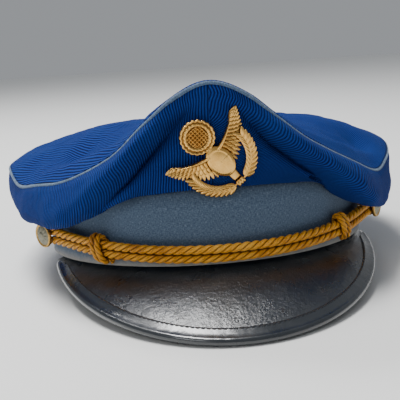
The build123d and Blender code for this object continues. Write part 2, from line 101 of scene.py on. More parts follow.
# %% Sheet tools
def finish_piece(obj, material, body):
    """Give a piece its material and smooth shading, and say which body it is for."""
    obj.data.materials.clear()
    obj.data.materials.append(material)
    obj.data.polygons.foreach_set("use_smooth", [True] * len(obj.data.polygons))
    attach(obj, body)
    return obj


def mesh_from_arrays(name, points, faces, uvs=None):
    """A mesh object from row-frame points, faces, and a pattern coordinate for each point."""
    mesh = bpy.data.meshes.new(name)
    mesh.from_pydata([tuple(p) for p in points], [], [tuple(f) for f in faces])
    if uvs is not None:
        layer = mesh.uv_layers.new(name="UVMap")
        corner = np.empty(len(mesh.loops), int)
        mesh.loops.foreach_get("vertex_index", corner)
        layer.data.foreach_set("uv", np.asarray(uvs, float)[corner].ravel())
    mesh.update()
    obj = bpy.data.objects.new(name, mesh)
    bpy.context.scene.collection.objects.link(obj)
    return obj


def grid_faces(rows, columns, wrap_rows=False, wrap_columns=False, start=0):
    """Quads of a grid whose points run along each row first."""
    faces = []
    for i in range(rows if wrap_rows else rows - 1):
        for j in range(columns if wrap_columns else columns - 1):
            a, b = i * columns + j, i * columns + (j + 1) % columns
            c, d = ((i + 1) % rows) * columns + (j + 1) % columns, ((i + 1) % rows) * columns + j
            faces.append((start + a, start + b, start + c, start + d))
    return faces


def grid_piece(name, points, uvs, wrap_rows=False, wrap_columns=False):
    """A mesh from a block of points with shape (rows, columns, 3) on the worn cap."""
    rows, columns = points.shape[:2]
    faces = grid_faces(rows, columns, wrap_rows, wrap_columns)
    return mesh_from_arrays(name, to_row(points.reshape(-1, 3)), faces, np.asarray(uvs).reshape(-1, 2))


def add_thickness(obj, thickness):
    """Thicken a sheet inward from its outer face; thickness in mm."""
    solid = obj.modifiers.new("thickness", "SOLIDIFY")
    solid.thickness = thickness * MM
    solid.offset = -1.0
    solid.use_even_offset = False


print("a grid of 3 by 4 points has", len(grid_faces(3, 4)), "quads")

# %% [markdown]
# ## Small tools for tubes
#
# A tube is a sheet too: rings of points set square to a path, joined end to end. Its ends are
# closed, and its faces are turned outward once it is a solid. `fractal` gives the same soft,
# uneven noise to every cloth, so that no edge or face is quite straight.

# %% Tube tools
def unit(v):
    return v / np.maximum(np.linalg.norm(v, axis=-1, keepdims=True), 1e-9)


def tube_rows(path, side, radius, corners, closed=False):
    """Rings round a path; `side` is a vector across the path at each point."""
    ahead = np.roll(path, -1, 0) - np.roll(path, 1, 0) if closed else np.gradient(path, axis=0)
    ahead = unit(ahead)
    out = unit(side - (side * ahead).sum(1, keepdims=True) * ahead)
    over = np.cross(ahead, out)
    angle = 2 * np.pi * (np.arange(corners) / corners)[None, :] + np.zeros((len(path), 1))
    radius = np.broadcast_to(np.asarray(radius, float), (len(path),))[:, None, None]
    ring = np.cos(angle)[..., None] * out[:, None, :] + np.sin(angle)[..., None] * over[:, None, :]
    return path[:, None, :] + radius * ring


def along_length(path):
    """Distance along a path at each of its points."""
    steps = np.linalg.norm(np.diff(path, axis=0), axis=1)
    return np.concatenate([[0], np.cumsum(steps)])


def tube_piece(name, path, side, radius, corners, closed=False):
    """A tube with its pattern running round (u, in turns) and along (v, in millimetres)."""
    rings = tube_rows(path, side, radius, corners, closed=closed)
    length = along_length(path)
    uv = np.stack(np.broadcast_arrays(np.arange(corners)[None, :] / corners, length[:, None]), -1)
    obj = grid_piece(name, rings, uv, wrap_rows=closed, wrap_columns=True)
    if not closed:
        cap_ends(obj, corners, len(path))
    return obj


def cap_ends(obj, corners, rings):
    """Close both ends of an open tube, and turn all faces outward."""
    work = bmesh.new()
    work.from_mesh(obj.data)
    work.verts.ensure_lookup_table()
    for ring in (0, rings - 1):
        work.faces.new([work.verts[ring * corners + i] for i in range(corners)])
    bmesh.ops.recalc_face_normals(work, faces=work.faces)
    work.to_mesh(obj.data)
    work.free()


def outward(obj):
    """Turn the faces of a closed mesh outward."""
    work = bmesh.new()
    work.from_mesh(obj.data)
    bmesh.ops.recalc_face_normals(work, faces=work.faces)
    work.to_mesh(obj.data)
    work.free()
    return obj


def fractal(points, scale, octaves=3, seed=0.0):
    """Smooth noise, about -1 to 1, at each point; scale is the size of its largest lumps in mm."""
    flat = np.asarray(points, float).reshape(-1, 3) / scale + seed
    values = [noise.fractal(Vector(p), 0.9, 2.0, octaves) for p in flat]
    return np.array(values).reshape(np.asarray(points).shape[:-1])


print("two rings of four corners are joined by", len(grid_faces(2, 4, wrap_columns=True)), "quads")

# %% [markdown]
# ## Materials: one helper for nodes
#
# Every material below is a small tree of nodes. `node` adds one node, sets its properties, gives
# each input either a value or another node's output, and hands back the output that is wanted.
# `hex_colour` turns the colour a maker would read off a chart into the linear numbers that the
# shader wants, and `lumps` turns a real size in millimetres into the inputs of a noise.

# %% Node helper
def hex_colour(code):
    channels = [int(code[i:i + 2], 16) / 255 for i in (1, 3, 5)]
    return tuple(c / 12.92 if c <= 0.04045 else ((c + 0.055) / 1.055)**2.4 for c in channels) + (1.0,)


def node(tree, kind, inputs=None, output=0, stops=(), **settings):
    """Add a node and return one of its outputs.

    inputs gives a value or another node's output for each input name or number, and stops gives
    the places and colour codes of a colour ramp.
    """
    made = tree.nodes.new(kind)
    for name, value in settings.items():
        setattr(made, name, value)
    for name, value in (inputs or {}).items():
        if isinstance(value, bpy.types.NodeSocket):
            tree.links.new(value, made.inputs[name])
        else:
            made.inputs[name].default_value = value
    if stops:
        for _ in stops[2:]:
            made.color_ramp.elements.new(0.5)
        for element, (place, code) in zip(made.color_ramp.elements, stops):
            element.position = place
            element.color = hex_colour(code)
    return made.outputs[output] if made.outputs else None


def lumps(place, size_mm, detail=3.0, roughness=0.55, unit=MM):
    """Inputs of a noise whose lumps are size_mm wide; unit is one millimetre of the pattern."""
    return {"Vector": place, "Scale": 1 / (size_mm * unit), "Detail": detail, "Roughness": roughness}


# Input and output numbers of a colour mix, whose sockets share their names with other types.
MIX_FACTOR, MIX_FIRST, MIX_SECOND, MIX_RESULT = 0, 6, 7, 2


def tint(factor, first, code):
    """Inputs of a colour mix: how much of the colour code goes over the first colour."""
    return {MIX_FACTOR: factor, MIX_FIRST: first, MIX_SECOND: hex_colour(code)}


def start_material(name):
    """An empty material: its tree, its shader, and object and pattern coordinates."""
    material = bpy.data.materials.new(name)
    material.use_nodes = True
    tree = material.node_tree
    body = node(tree, "ShaderNodeTexCoord", output="Object")
    place = node(tree, "ShaderNodeTexCoord", output="UV")
    return material, tree, tree.nodes["Principled BSDF"], body, place


print("shader inputs take linear colour, such as", [round(c, 3) for c in hex_colour("#808080")])

# %% [markdown]
# ### Crown cloth: wool elastique, a steep ribbed twill
#
# The crown is woven so that round diagonal ribs stand up from the cloth, about 1.4 mm apart,
# with a thin line between them. Ribs are drawn from the pattern coordinates of each panel,
# which are laid out in millimetres, so they bend with the cloth and meet in a chevron at the
# seams as on a real cap. The colour follows each rib's height: painted shade darkens the line
# between ribs and the rib tops are lightest. Random patches are worn paler.

# %% Crown cloth
RIB_SPACING = 1.45
CROSS_THREAD_SPACING = 0.7


def ribbed_wool(name):
    material, tree, shader, body, place = start_material(name)
    wander = node(tree, "ShaderNodeTexNoise", lumps(place, 9.0, 2.0, unit=1.0))
    across = node(tree, "ShaderNodeSeparateXYZ", {0: place}, output="X")
    along = node(tree, "ShaderNodeSeparateXYZ", {0: place}, output="Y")
    bent = node(tree, "ShaderNodeMath", {0: wander, 1: 0.5, 2: across}, operation="MULTIPLY_ADD")
    phase = node(tree, "ShaderNodeMath", {0: bent, 1: 2 * math.pi / RIB_SPACING}, operation="MULTIPLY")
    wave = node(tree, "ShaderNodeMath", {0: phase}, operation="SINE")
    half_wave = node(tree, "ShaderNodeMath", {0: wave, 1: 0.5, 2: 0.5}, operation="MULTIPLY_ADD")
    rib = node(tree, "ShaderNodeMath", {0: half_wave, 1: 0.6}, operation="POWER")
    cross = node(tree, "ShaderNodeMath", {0: along, 1: 2 * math.pi / CROSS_THREAD_SPACING},
                 operation="MULTIPLY")
    thread = node(tree, "ShaderNodeMath", {0: cross}, operation="SINE")
    fuzz = node(tree, "ShaderNodeTexNoise", lumps(body, 0.6, 2.0))
    patch = node(tree, "ShaderNodeTexNoise", lumps(body, 28.0))
    height = node(tree, "ShaderNodeMath", {0: thread, 1: 0.10, 2: rib}, operation="MULTIPLY_ADD")
    height = node(tree, "ShaderNodeMath", {0: fuzz, 1: 0.35, 2: height}, operation="MULTIPLY_ADD")
    # Painted shade: the colour is darkest in the grooves between ribs and lightest on the rib tops.
    rib_shade_stops = ((0.0, "#01020c"), (0.45, "#08195c"), (1.0, "#123d8e"))
    colour = node(tree, "ShaderNodeValToRGB", {0: rib}, stops=rib_shade_stops)
    worn = node(tree, "ShaderNodeMath", {0: patch, 1: 0.42}, operation="SUBTRACT")
    worn = node(tree, "ShaderNodeMath", {0: worn, 1: 0.8}, operation="MULTIPLY")
    colour = node(tree, "ShaderNodeMix", tint(worn, colour, "#154284"), MIX_RESULT, data_type="RGBA")
    shade = node(tree, "ShaderNodeMath", {0: fuzz, 1: 0.25}, operation="MULTIPLY")
    colour = node(tree, "ShaderNodeMix", tint(shade, colour, "#081b56"), MIX_RESULT, data_type="RGBA")
    relief = node(tree, "ShaderNodeBump", {"Height": height, "Distance": 0.55 * MM, "Strength": 0.95})
    tree.links.new(colour, shader.inputs["Base Color"])
    tree.links.new(relief, shader.inputs["Normal"])
    shader.inputs["Roughness"].default_value = 0.82
    shader.inputs["Sheen Weight"].default_value = 0.03
    shader.inputs["Sheen Roughness"].default_value = 0.45
    shader.inputs["Sheen Tint"].default_value = hex_colour("#6f9ff0")
    shader.inputs["Specular IOR Level"].default_value = 0.12
    return material


crown_cloth = ribbed_wool("ribbed_wool_royal_blue")
print("made", crown_cloth.name)

# %% [markdown]
# ### Band cloth: plain wool barathea in mixed grey-blue yarns
#
# The band is a flat heathered cloth. Light and dark fibres are spun into the same yarn, so short
# streaks of both run along the threads. The fold at the lower edge has been rubbed by hands and
# tables and shows a paler, browner nap, strongest over the lowest two millimetres.

# %% Band cloth
BAND_WORN_HEIGHT = 3.2
BAND_WORN_RAGGED = 3.4
BAND_WORN_FULL = 1.6


def heathered_wool(name, shades, worn_edge=True):
    material, tree, shader, body, place = start_material(name)
    streaks = []
    for stretch in ((0.7, 3.0, 1.0), (3.0, 0.7, 1.0)):
        stretched = node(tree, "ShaderNodeMapping", {"Vector": place, "Scale": stretch})
        streaks.append(node(tree, "ShaderNodeTexNoise", lumps(stretched, 1.0, 2.0, unit=1.0)))
    yarn = node(tree, "ShaderNodeMath", {0: streaks[1], 1: 0.5}, operation="MULTIPLY")
    yarn = node(tree, "ShaderNodeMath", {0: streaks[0], 1: 0.5, 2: yarn}, operation="MULTIPLY_ADD")
    colour = node(tree, "ShaderNodeValToRGB", {0: yarn}, stops=tuple(zip((0.30, 0.46, 0.56, 0.70), shades)))
    patch = node(tree, "ShaderNodeTexNoise", lumps(body, 22.0, 4.0))
    faded = node(tree, "ShaderNodeMath", {0: patch, 1: 0.35}, operation="MULTIPLY")
    colour = node(tree, "ShaderNodeMix", tint(faded, colour, shades[1]), MIX_RESULT, data_type="RGBA")
    if worn_edge:
        height_up = node(tree, "ShaderNodeSeparateXYZ", {0: place}, output="Y")
        uneven = node(tree, "ShaderNodeTexNoise", lumps(body, 5.0, 4.0))
        ragged = node(tree, "ShaderNodeMath", {0: uneven, 1: BAND_WORN_RAGGED, 2: height_up},
                      operation="MULTIPLY_ADD")
        worn = node(tree, "ShaderNodeMapRange", {0: ragged, 1: BAND_WORN_HEIGHT + BAND_WORN_RAGGED,
                                                 2: BAND_WORN_FULL, 3: 0.0, 4: 0.85})
        colour = node(tree, "ShaderNodeMix", tint(worn, colour, "#a8a297"), MIX_RESULT, data_type="RGBA")
    nap = node(tree, "ShaderNodeTexNoise", lumps(body, 0.5, 1.0))
    weave = node(tree, "ShaderNodeMath", {0: nap, 1: 0.6, 2: yarn}, operation="MULTIPLY_ADD")
    relief = node(tree, "ShaderNodeBump", {"Height": weave, "Distance": 0.22 * MM, "Strength": 0.8})
    tree.links.new(colour, shader.inputs["Base Color"])
    tree.links.new(relief, shader.inputs["Normal"])
    shader.inputs["Roughness"].default_value = 0.9
    shader.inputs["Sheen Weight"].default_value = 0.3
    shader.inputs["Sheen Roughness"].default_value = 0.5
    shader.inputs["Sheen Tint"].default_value = hex_colour("#c9d4e0")
    shader.inputs["Specular IOR Level"].default_value = 0.2
    return material


BAND_SHADES = ("#2e3c4e", "#46566a", "#5a6b7f", "#8894a2")
PIPING_SHADES = ("#33445c", "#4a5d76", "#61748b", "#8695a6")
band_cloth_wool = heathered_wool("heathered_wool_grey_blue", BAND_SHADES)
piping_wool = heathered_wool("piping_wool_grey_blue", PIPING_SHADES, False)
print("made", band_cloth_wool.name, piping_wool.name)

# %% [markdown]
# ### Visor: patent leather
#
# Patent leather is leather under a thick black varnish. Fresh it mirrors like glass; with age the
# varnish crazes and pocks, so a highlight breaks up into bright grains, and a few fine cracks
# open where the visor was bent. A dark base with a clear coat gives the gloss, noise of two sizes
# gives the grain, and stretched noise gives the cracks.

# %% Patent leather
def patent_leather(name, gloss_from, gloss_to, crazed=True):
    material, tree, shader, body, _ = start_material(name)
    patch = node(tree, "ShaderNodeTexNoise", lumps(body, 16.0, 4.0))
    grain = node(tree, "ShaderNodeTexNoise", lumps(body, 1.8, 4.0, 0.7))
    dents = node(tree, "ShaderNodeTexNoise", lumps(body, 9.0, 2.0))
    dust = node(tree, "ShaderNodeTexNoise", lumps(body, 0.45, 2.0))
    haze = node(tree, "ShaderNodeMapRange", {0: patch, 1: 0.38, 2: 0.66, 3: gloss_from, 4: gloss_to})
    height = node(tree, "ShaderNodeMath", {0: dents, 1: 0.35}, operation="MULTIPLY")
    height = node(tree, "ShaderNodeMath", {0: grain, 1: 0.34 if crazed else 0.05, 2: height},
                  operation="MULTIPLY_ADD")
    if crazed:
        stretched = node(tree, "ShaderNodeMapping", {"Vector": body, "Scale": (0.16, 1.0, 1.0)})
        crack = node(tree, "ShaderNodeTexNoise", lumps(stretched, 2.6, 4.0, 0.75))
        ridge = node(tree, "ShaderNodeMath", {0: crack, 1: 0.5}, operation="SUBTRACT")
        ridge = node(tree, "ShaderNodeMath", {0: ridge}, operation="ABSOLUTE")
        line = node(tree, "ShaderNodeMapRange", {0: ridge, 1: 0.0, 2: 0.012, 3: 1.0, 4: 0.0})
        bends = node(tree, "ShaderNodeTexNoise", lumps(body, 24.0, 1.0))
        where = node(tree, "ShaderNodeMapRange", {0: bends, 1: 0.60, 2: 0.66, 3: 0.0, 4: 1.0})
        cut = node(tree, "ShaderNodeMath", {0: line, 1: where}, operation="MULTIPLY")
        height = node(tree, "ShaderNodeMath", {0: cut, 1: -0.25, 2: height}, operation="MULTIPLY_ADD")
    dusty = node(tree, "ShaderNodeMath", {0: dust, 1: 0.5}, operation="MULTIPLY")
    colour = node(tree, "ShaderNodeMix", tint(dusty, hex_colour("#12161b"), "#232b33"), MIX_RESULT,
                  data_type="RGBA")
    relief = node(tree, "ShaderNodeBump", {"Height": height, "Distance": 1.1 * MM, "Strength": 0.9})
    varnish = node(tree, "ShaderNodeBump", {"Height": height, "Distance": 0.9 * MM, "Strength": 0.9})
    tree.links.new(colour, shader.inputs["Base Color"])
    tree.links.new(haze, shader.inputs["Roughness"])
    tree.links.new(relief, shader.inputs["Normal"])
    tree.links.new(varnish, shader.inputs["Coat Normal"])
    shader.inputs["Coat Weight"].default_value = 1.0
    shader.inputs["Coat Roughness"].default_value = 0.20
    shader.inputs["IOR"].default_value = 1.5
    return material


visor_patent = patent_leather("patent_leather_black", 0.26, 0.44)
binding_patent = patent_leather("patent_leather_binding", 0.24, 0.38, crazed=False)
print("made", visor_patent.name, binding_patent.name)

# %% [markdown]
# ### Chin cord: twisted gold rayon
#
# Rayon floss is wound over a cotton core and three such strands are laid into a cord. The strands
# are real geometry here, so the material only needs the fine filaments that wind round each
# strand: stripes in the tube's own coordinates, drawn coarser than real floss so that they show,
# a soft satin shine, and painted shade, brown, in the hollows between the strands.

# %% Gold rayon
FILAMENT_TURNS = 9.0
FILAMENT_PITCH = 12.0
PAINTED_SHADE_REACH = 1.6 * MM


def gold_rayon(name):
    material, tree, shader, body, place = start_material(name)
    turn = node(tree, "ShaderNodeSeparateXYZ", {0: place}, output="X")
    along = node(tree, "ShaderNodeSeparateXYZ", {0: place}, output="Y")
    slant = node(tree, "ShaderNodeMath", {0: along, 1: FILAMENT_TURNS / FILAMENT_PITCH}, operation="MULTIPLY")
    slant = node(tree, "ShaderNodeMath", {0: turn, 1: FILAMENT_TURNS, 2: slant}, operation="MULTIPLY_ADD")
    phase = node(tree, "ShaderNodeMath", {0: slant, 1: 2 * math.pi}, operation="MULTIPLY")
    filament = node(tree, "ShaderNodeMath", {0: phase}, operation="SINE")
    fuzz = node(tree, "ShaderNodeTexNoise", lumps(body, 0.5))
    height = node(tree, "ShaderNodeMath", {0: fuzz, 1: 0.8, 2: filament}, operation="MULTIPLY_ADD")
    dirt = node(tree, "ShaderNodeTexNoise", lumps(body, 9.0))
    floss_stops = ((0.30, "#c07a10"), (0.48, "#e39a18"), (0.72, "#f0b035"))
    colour = node(tree, "ShaderNodeValToRGB", {0: dirt}, stops=floss_stops)
    between = node(tree, "ShaderNodeMath", {0: filament, 1: 0.10, 2: 0.10}, operation="MULTIPLY_ADD")
    colour = node(tree, "ShaderNodeMix", tint(between, colour, "#a05c0c"), MIX_RESULT, data_type="RGBA")
    # Painted shade: an occlusion estimate darkens the hollows between the strands to brown.
    open_share = node(tree, "ShaderNodeAmbientOcclusion", {"Distance": PAINTED_SHADE_REACH}, output="AO")
    painted_hollow_shade = node(tree, "ShaderNodeMapRange", {0: open_share, 1: 0.45, 2: 0.95, 3: 0.9, 4: 0.0})
    colour = node(tree, "ShaderNodeMix", tint(painted_hollow_shade, colour, "#5a2c06"), MIX_RESULT, data_type="RGBA")
    relief = node(tree, "ShaderNodeBump", {"Height": height, "Distance": 0.10 * MM, "Strength": 0.7})
    tree.links.new(colour, shader.inputs["Base Color"])
    tree.links.new(relief, shader.inputs["Normal"])
    shader.inputs["Roughness"].default_value = 0.34
    shader.inputs["Sheen Weight"].default_value = 0.10
    shader.inputs["Sheen Tint"].default_value = hex_colour("#ffd98a")
    shader.inputs["Specular IOR Level"].default_value = 0.40
    return material


cord_rayon = gold_rayon("gold_rayon_cord")
print("made", cord_rayon.name)

# %% [markdown]
# ### Metals
#
# The badge is die-struck brass with a warm gilt finish, and painted shade darkens the hollows
# between the feathers. The buttons have lost most of their gilt and show a dull grey-green brass,
# with painted shade in their hollows as well.
# Nuts and eyelets are plain turned brass, and the stay is blued spring steel. A wide noise gives
# the worn patches and a fine one the slightly uneven shine of handled metal.

# %% Metals
def struck_metal(name, base, dark, roughness, patch_mm, hollow=None):
    material, tree, shader, body, _ = start_material(name)
    patch = node(tree, "ShaderNodeTexNoise", lumps(body, patch_mm, 4.0, 0.65))
    grain = node(tree, "ShaderNodeTexNoise", lumps(body, 0.35, 2.0))
    worn = node(tree, "ShaderNodeMapRange", {0: patch, 1: 0.35, 2: 0.68, 3: 0.0, 4: 0.5})
    colour = node(tree, "ShaderNodeMix", tint(worn, hex_colour(base), dark), MIX_RESULT, data_type="RGBA")
    # Painted shade: an occlusion estimate darkens the hollows toward the hollow colour.
    if hollow:
        open_share = node(tree, "ShaderNodeAmbientOcclusion", {"Distance": PAINTED_SHADE_REACH}, "AO", samples=8)
        painted_hollow_shade = node(tree, "ShaderNodeMapRange", {0: open_share, 1: 0.35, 2: 0.85, 3: 1.0, 4: 0.0})
        colour = node(tree, "ShaderNodeMix", tint(painted_hollow_shade, colour, hollow), MIX_RESULT, data_type="RGBA")
    shine = node(tree, "ShaderNodeMapRange", {0: grain, 1: 0.3, 2: 0.7, 3: roughness, 4: roughness + 0.18})
    relief = node(tree, "ShaderNodeBump", {"Height": grain, "Distance": 0.03 * MM, "Strength": 0.5})
    tree.links.new(colour, shader.inputs["Base Color"])
    tree.links.new(shine, shader.inputs["Roughness"])
    tree.links.new(relief, shader.inputs["Normal"])
    shader.inputs["Metallic"].default_value = 1.0
    return material


# The hollow colours below are painted shade for the badge's and the buttons' hollows.
gilt_brass = struck_metal("struck_gilt_brass", "#f0bf6c", "#c58c3c", 0.22, 5.0, hollow="#5a300c")
dull_brass = struck_metal("tarnished_brass", "#8d8a78", "#56574e", 0.42, 3.0, hollow="#2c2c26")
rim_brass = struck_metal("rubbed_gilt_rim", "#c9a05a", "#7e6a3c", 0.32, 3.0)
plain_brass = struck_metal("turned_brass", "#c8a45c", "#8f7136", 0.30, 4.0)
spring_steel = struck_metal("blued_spring_steel", "#8d9298", "#5c6066", 0.30, 6.0)
print("made", gilt_brass.name, dull_brass.name, rim_brass.name, plain_brass.name, spring_steel.name)

# %% [markdown]
# ### The inner stuffs
#
# Inside are a brown leather sweatband, a satin lining, buckram, pressed fibre, a plastic reed, a
# grosgrain bow and a clear film. They are hardly seen, so one recipe serves nearly all: two tones
# mixed by a patchy noise and a fine grain, with the grain also as a low relief.

# %% Inner stuffs
def plain_stuff(name, light, dark, roughness, grain_mm, depth_mm, sheen=0.0, coat=0.0, stretch=(1, 1, 1)):
    material, tree, shader, body, _ = start_material(name)
    along = node(tree, "ShaderNodeMapping", {"Vector": body, "Scale": stretch})
    grain = node(tree, "ShaderNodeTexNoise", lumps(along, grain_mm, 4.0, 0.6))
    patch = node(tree, "ShaderNodeTexNoise", lumps(body, 18.0))
    tone = node(tree, "ShaderNodeMath", {0: grain, 1: 0.5}, operation="MULTIPLY")
    tone = node(tree, "ShaderNodeMath", {0: patch, 1: 0.5, 2: tone}, operation="MULTIPLY_ADD")
    colour = node(tree, "ShaderNodeValToRGB", {0: tone}, stops=((0.35, dark), (0.62, light)))
    relief = node(tree, "ShaderNodeBump", {"Height": grain, "Distance": depth_mm * MM, "Strength": 0.6})
    tree.links.new(colour, shader.inputs["Base Color"])
    tree.links.new(relief, shader.inputs["Normal"])
    shader.inputs["Roughness"].default_value = roughness
    shader.inputs["Sheen Weight"].default_value = sheen
    shader.inputs["Coat Weight"].default_value = coat
    return material


sweat_leather = plain_stuff("sweatband_leather_brown", "#7a4c2a", "#43260f", 0.5, 1.2, 0.10, coat=0.1)
lining_satin = plain_stuff("lining_satin_gold_brown", "#8b7a4e", "#6a5a34", 0.38, 0.5, 0.04, sheen=0.3)
buckram = plain_stuff("buckram_canvas", "#cfc6b0", "#9c927a", 0.9, 0.7, 0.2)
fibre = plain_stuff("pressed_fibre_board", "#8a6d48", "#5f4628", 0.8, 0.9, 0.08)
reed_plastic = plain_stuff("reed_plastic_dark", "#2a2622", "#15120f", 0.45, 1.5, 0.03)
bow_ribbon = plain_stuff("bow_grosgrain_black", "#2b2a2c", "#141315", 0.6, 0.5, 0.1,
                         sheen=0.3, stretch=(3, 1, 1))
visor_under = plain_stuff("visor_underside_leather", "#2f3a36", "#161c1a", 0.62, 1.0, 0.08)
thread_black = plain_stuff("waxed_thread_black", "#23262a", "#0e1012", 0.5, 0.4, 0.04)


def clear_film(name):
    material, tree, shader, body, _ = start_material(name)
    haze = node(tree, "ShaderNodeTexNoise", lumps(body, 7.0))
    shine = node(tree, "ShaderNodeMapRange", {0: haze, 1: 0.3, 2: 0.7, 3: 0.12, 4: 0.35})
    relief = node(tree, "ShaderNodeBump", {"Height": haze, "Distance": 0.3 * MM, "Strength": 0.4})
    tree.links.new(shine, shader.inputs["Roughness"])
    tree.links.new(relief, shader.inputs["Normal"])
    shader.inputs["Base Color"].default_value = hex_colour("#e8e2cc")
    shader.inputs["Alpha"].default_value = 0.35
    shader.inputs["IOR"].default_value = 1.49
    return material


shield_film = clear_film("clear_sweat_shield")
print("materials", len(bpy.data.materials))

# %% [markdown]
# ### Parts that keep their engineering shape
#
# Posts, nuts, eyelets, the reed and the boards inside are already right as they stand in the
# frame, so they only change their material.

# %% Kept parts
for stuff, cad_nodes in (
        (plain_brass, ("badge_eyelet", "badge_eyelet_washer", "side_eyelet_left", "side_eyelet_right",
                       "badge_post", "badge_nut", "button_left_nut", "button_right_nut")),
        (rim_brass, ("button_left_back", "button_right_back")),
        (fibre, ("band_stiffener", "visor_core")),
        (reed_plastic, ("sweatband_reed",))):
    for cad_node in cad_nodes:
        data = frame["nodes"][cad_node].data
        data.materials.clear()
        data.materials.append(stuff)
    print(stuff.name, "on", *cad_nodes)

# %% [markdown]
# ## The band's oval and the crown's edge
#
# The band is an oval of four arcs. The crown's edge, where the piping runs, is an ellipse in
# plan, wider than the band all round. Its height is the cap's character: high over the stiffened
# front, low at the temples where the soft top sags, and half way up again behind. A short list
# of turns and heights, joined by a smooth curve, says that. The old top has slipped a little
# askew, so its peak stands a few degrees to one side.

# %% Outlines
BAND_HALF_LENGTH, BAND_HALF_WIDTH, BAND_END_RADIUS = 103.5, 97.0, 88.0
BAND_MIDDLE_HEIGHT, BAND_SLOPE = 36.0, 3.5 / 103.5
EDGE_FRONT, EDGE_BACK, EDGE_HALF_WIDTH = 113.5, 138.0, 119.5
band_side_radius = ((BAND_HALF_LENGTH**2 + BAND_HALF_WIDTH**2 - 2 * BAND_HALF_LENGTH * BAND_END_RADIUS)
                    / (2 * (BAND_HALF_WIDTH - BAND_END_RADIUS)))
side_shift = band_side_radius - BAND_HALF_WIDTH
end_shift = BAND_HALF_LENGTH - BAND_END_RADIUS
arc_join = math.atan2(side_shift, end_shift)


def band_reach(turn, inset=0.0):
    """Distance from the cap's axis to the band's oval; turn in degrees from the front."""
    across, along = np.abs(np.sin(np.radians(turn))), np.abs(np.cos(np.radians(turn)))
    end_arc, side_arc = BAND_END_RADIUS - inset, band_side_radius - inset
    join_x, join_y = end_arc * math.sin(arc_join), end_shift + end_arc * math.cos(arc_join)
    at_end = end_shift * along + np.sqrt(np.maximum(end_arc**2 - (end_shift * across)**2, 0))
    at_side = np.sqrt(side_arc**2 - (side_shift * along)**2) - side_shift * across
    return np.where(across * join_y < along * join_x, at_end, at_side)


def ellipse_reach(turn, half_width, half_length, forward):
    across, along = np.sin(np.radians(turn)) / half_width, np.cos(np.radians(turn)) / half_length
    a, b, c = across**2 + along**2, along * forward / half_length, (forward / half_length)**2 - 1
    return (b + np.sqrt(b * b - a * c)) / a


def edge_reach(turn):
    return ellipse_reach(turn, EDGE_HALF_WIDTH, (EDGE_FRONT + EDGE_BACK) / 2, (EDGE_FRONT - EDGE_BACK) / 2)


def round_curve(table, turn):
    """A smooth closed curve through (turn, value) points, by cubic pieces with gentle slopes."""
    t, v = np.array(table, float).T
    t = np.concatenate([t[-2:] - 360, t, t[:2] + 360])
    v = np.concatenate([v[-2:], v, v[:2]])
    slope = np.gradient(v, t)
    turn = (np.asarray(turn, float) + 180) % 360 - 180
    i = np.clip(np.searchsorted(t, turn, side="right") - 1, 0, len(t) - 2)
    h = t[i + 1] - t[i]
    s = (turn - t[i]) / h
    return ((2 * s**3 - 3 * s**2 + 1) * v[i] + (s**3 - 2 * s**2 + s) * h * slope[i]
            + (3 * s**2 - 2 * s**3) * v[i + 1] + (s**3 - s**2) * h * slope[i + 1])


EDGE_HEIGHTS = ((-172, 64), (-150, 62), (-120, 57), (-98, 53), (-82, 50), (-70, 43), (-57, 44), (-47, 45.5),
                (-36, 51.5), (-28, 59), (-20, 72), (-13, 82.5), (-3.5, 90), (6, 83), (13, 72), (20, 61.5),
                (27, 54), (38, 45), (53, 37.5), (63, 42), (80, 49), (105, 55), (135, 61), (160, 64))


def edge_height(turn):
    return round_curve(EDGE_HEIGHTS, turn)


def polar(turn, reach, height):
    """Points on the worn cap from turn, distance from the axis and height."""
    turn = np.radians(turn)
    return np.stack(np.broadcast_arrays(reach * np.sin(turn), -reach * np.cos(turn), height), -1)


print("edge height at the peak", round(float(edge_height(-3.5)), 1), "mm")

# %% [markdown]
# ## The crown's side
#
# Four wool quarters run from the band to the edge. Over the front they lie on buckram and stand
# almost straight. From about 15 degrees on they leave it: right under the piping the cloth rolls
# outward, and below that roll it is drawn into a deep hollow that runs down to the band. Past 45
# degrees the roll has become a soft lobe that hangs out and down over the band. So each upright
# section is a straight line plus three swellings, whose sizes are curves round the cap.

# %% Crown side shape
LOBE_OUT = ((-180, 12), (-120, 11), (-80, 9), (-60, 10), (-48, 11), (-38, 9.5), (-28, 6), (-20, 2.5),
            (-12, 0), (5, 0), (18, 1.5), (27, 5), (38, 9), (50, 9), (62, 8), (80, 8), (105, 9), (150, 12))
LOBE_DOWN = ((-180, 8), (-120, 9), (-80, 11.5), (-60, 15), (-48, 16.5), (-38, 12.5), (-28, 6), (-20, 2),
             (-12, 0), (5, 0), (20, 1), (30, 6), (40, 15), (52, 18.5), (64, 18), (80, 16), (105, 12),
             (150, 9))
ROLL_OUT = ((-90, 0), (-60, 1), (-45, 4), (-34, 8), (-24, 9), (-16, 7), (-9, 3), (-3.5, 1),
            (3, 3), (10, 7.5), (20, 9.5), (31, 8.5), (42, 4.5), (60, 1), (90, 0), (180, 0))
HOLLOW_DEPTH = ((-90, 0), (-54, 0), (-46, 4), (-38, 10), (-28, 14), (-19, 12.5), (-12, 7), (-6, 0.5),
                (2, 1.0), (7, 7), (14, 13), (24, 13.5), (34, 11), (42, 5.5), (52, 0), (62, 0), (180, 0))
HOLLOW_PLACE = ((-90, 0.15), (-50, 0.14), (-42, 0.28), (-33, 0.48), (-24, 0.64), (-15, 0.78), (-8, 0.86),
                (2, 0.88), (8, 0.80), (16, 0.68), (24, 0.54), (34, 0.38), (44, 0.22), (60, 0.12), (180, 0.12))


def hump(t, centre, width):
    return np.exp(-((t - centre) / width)**2)


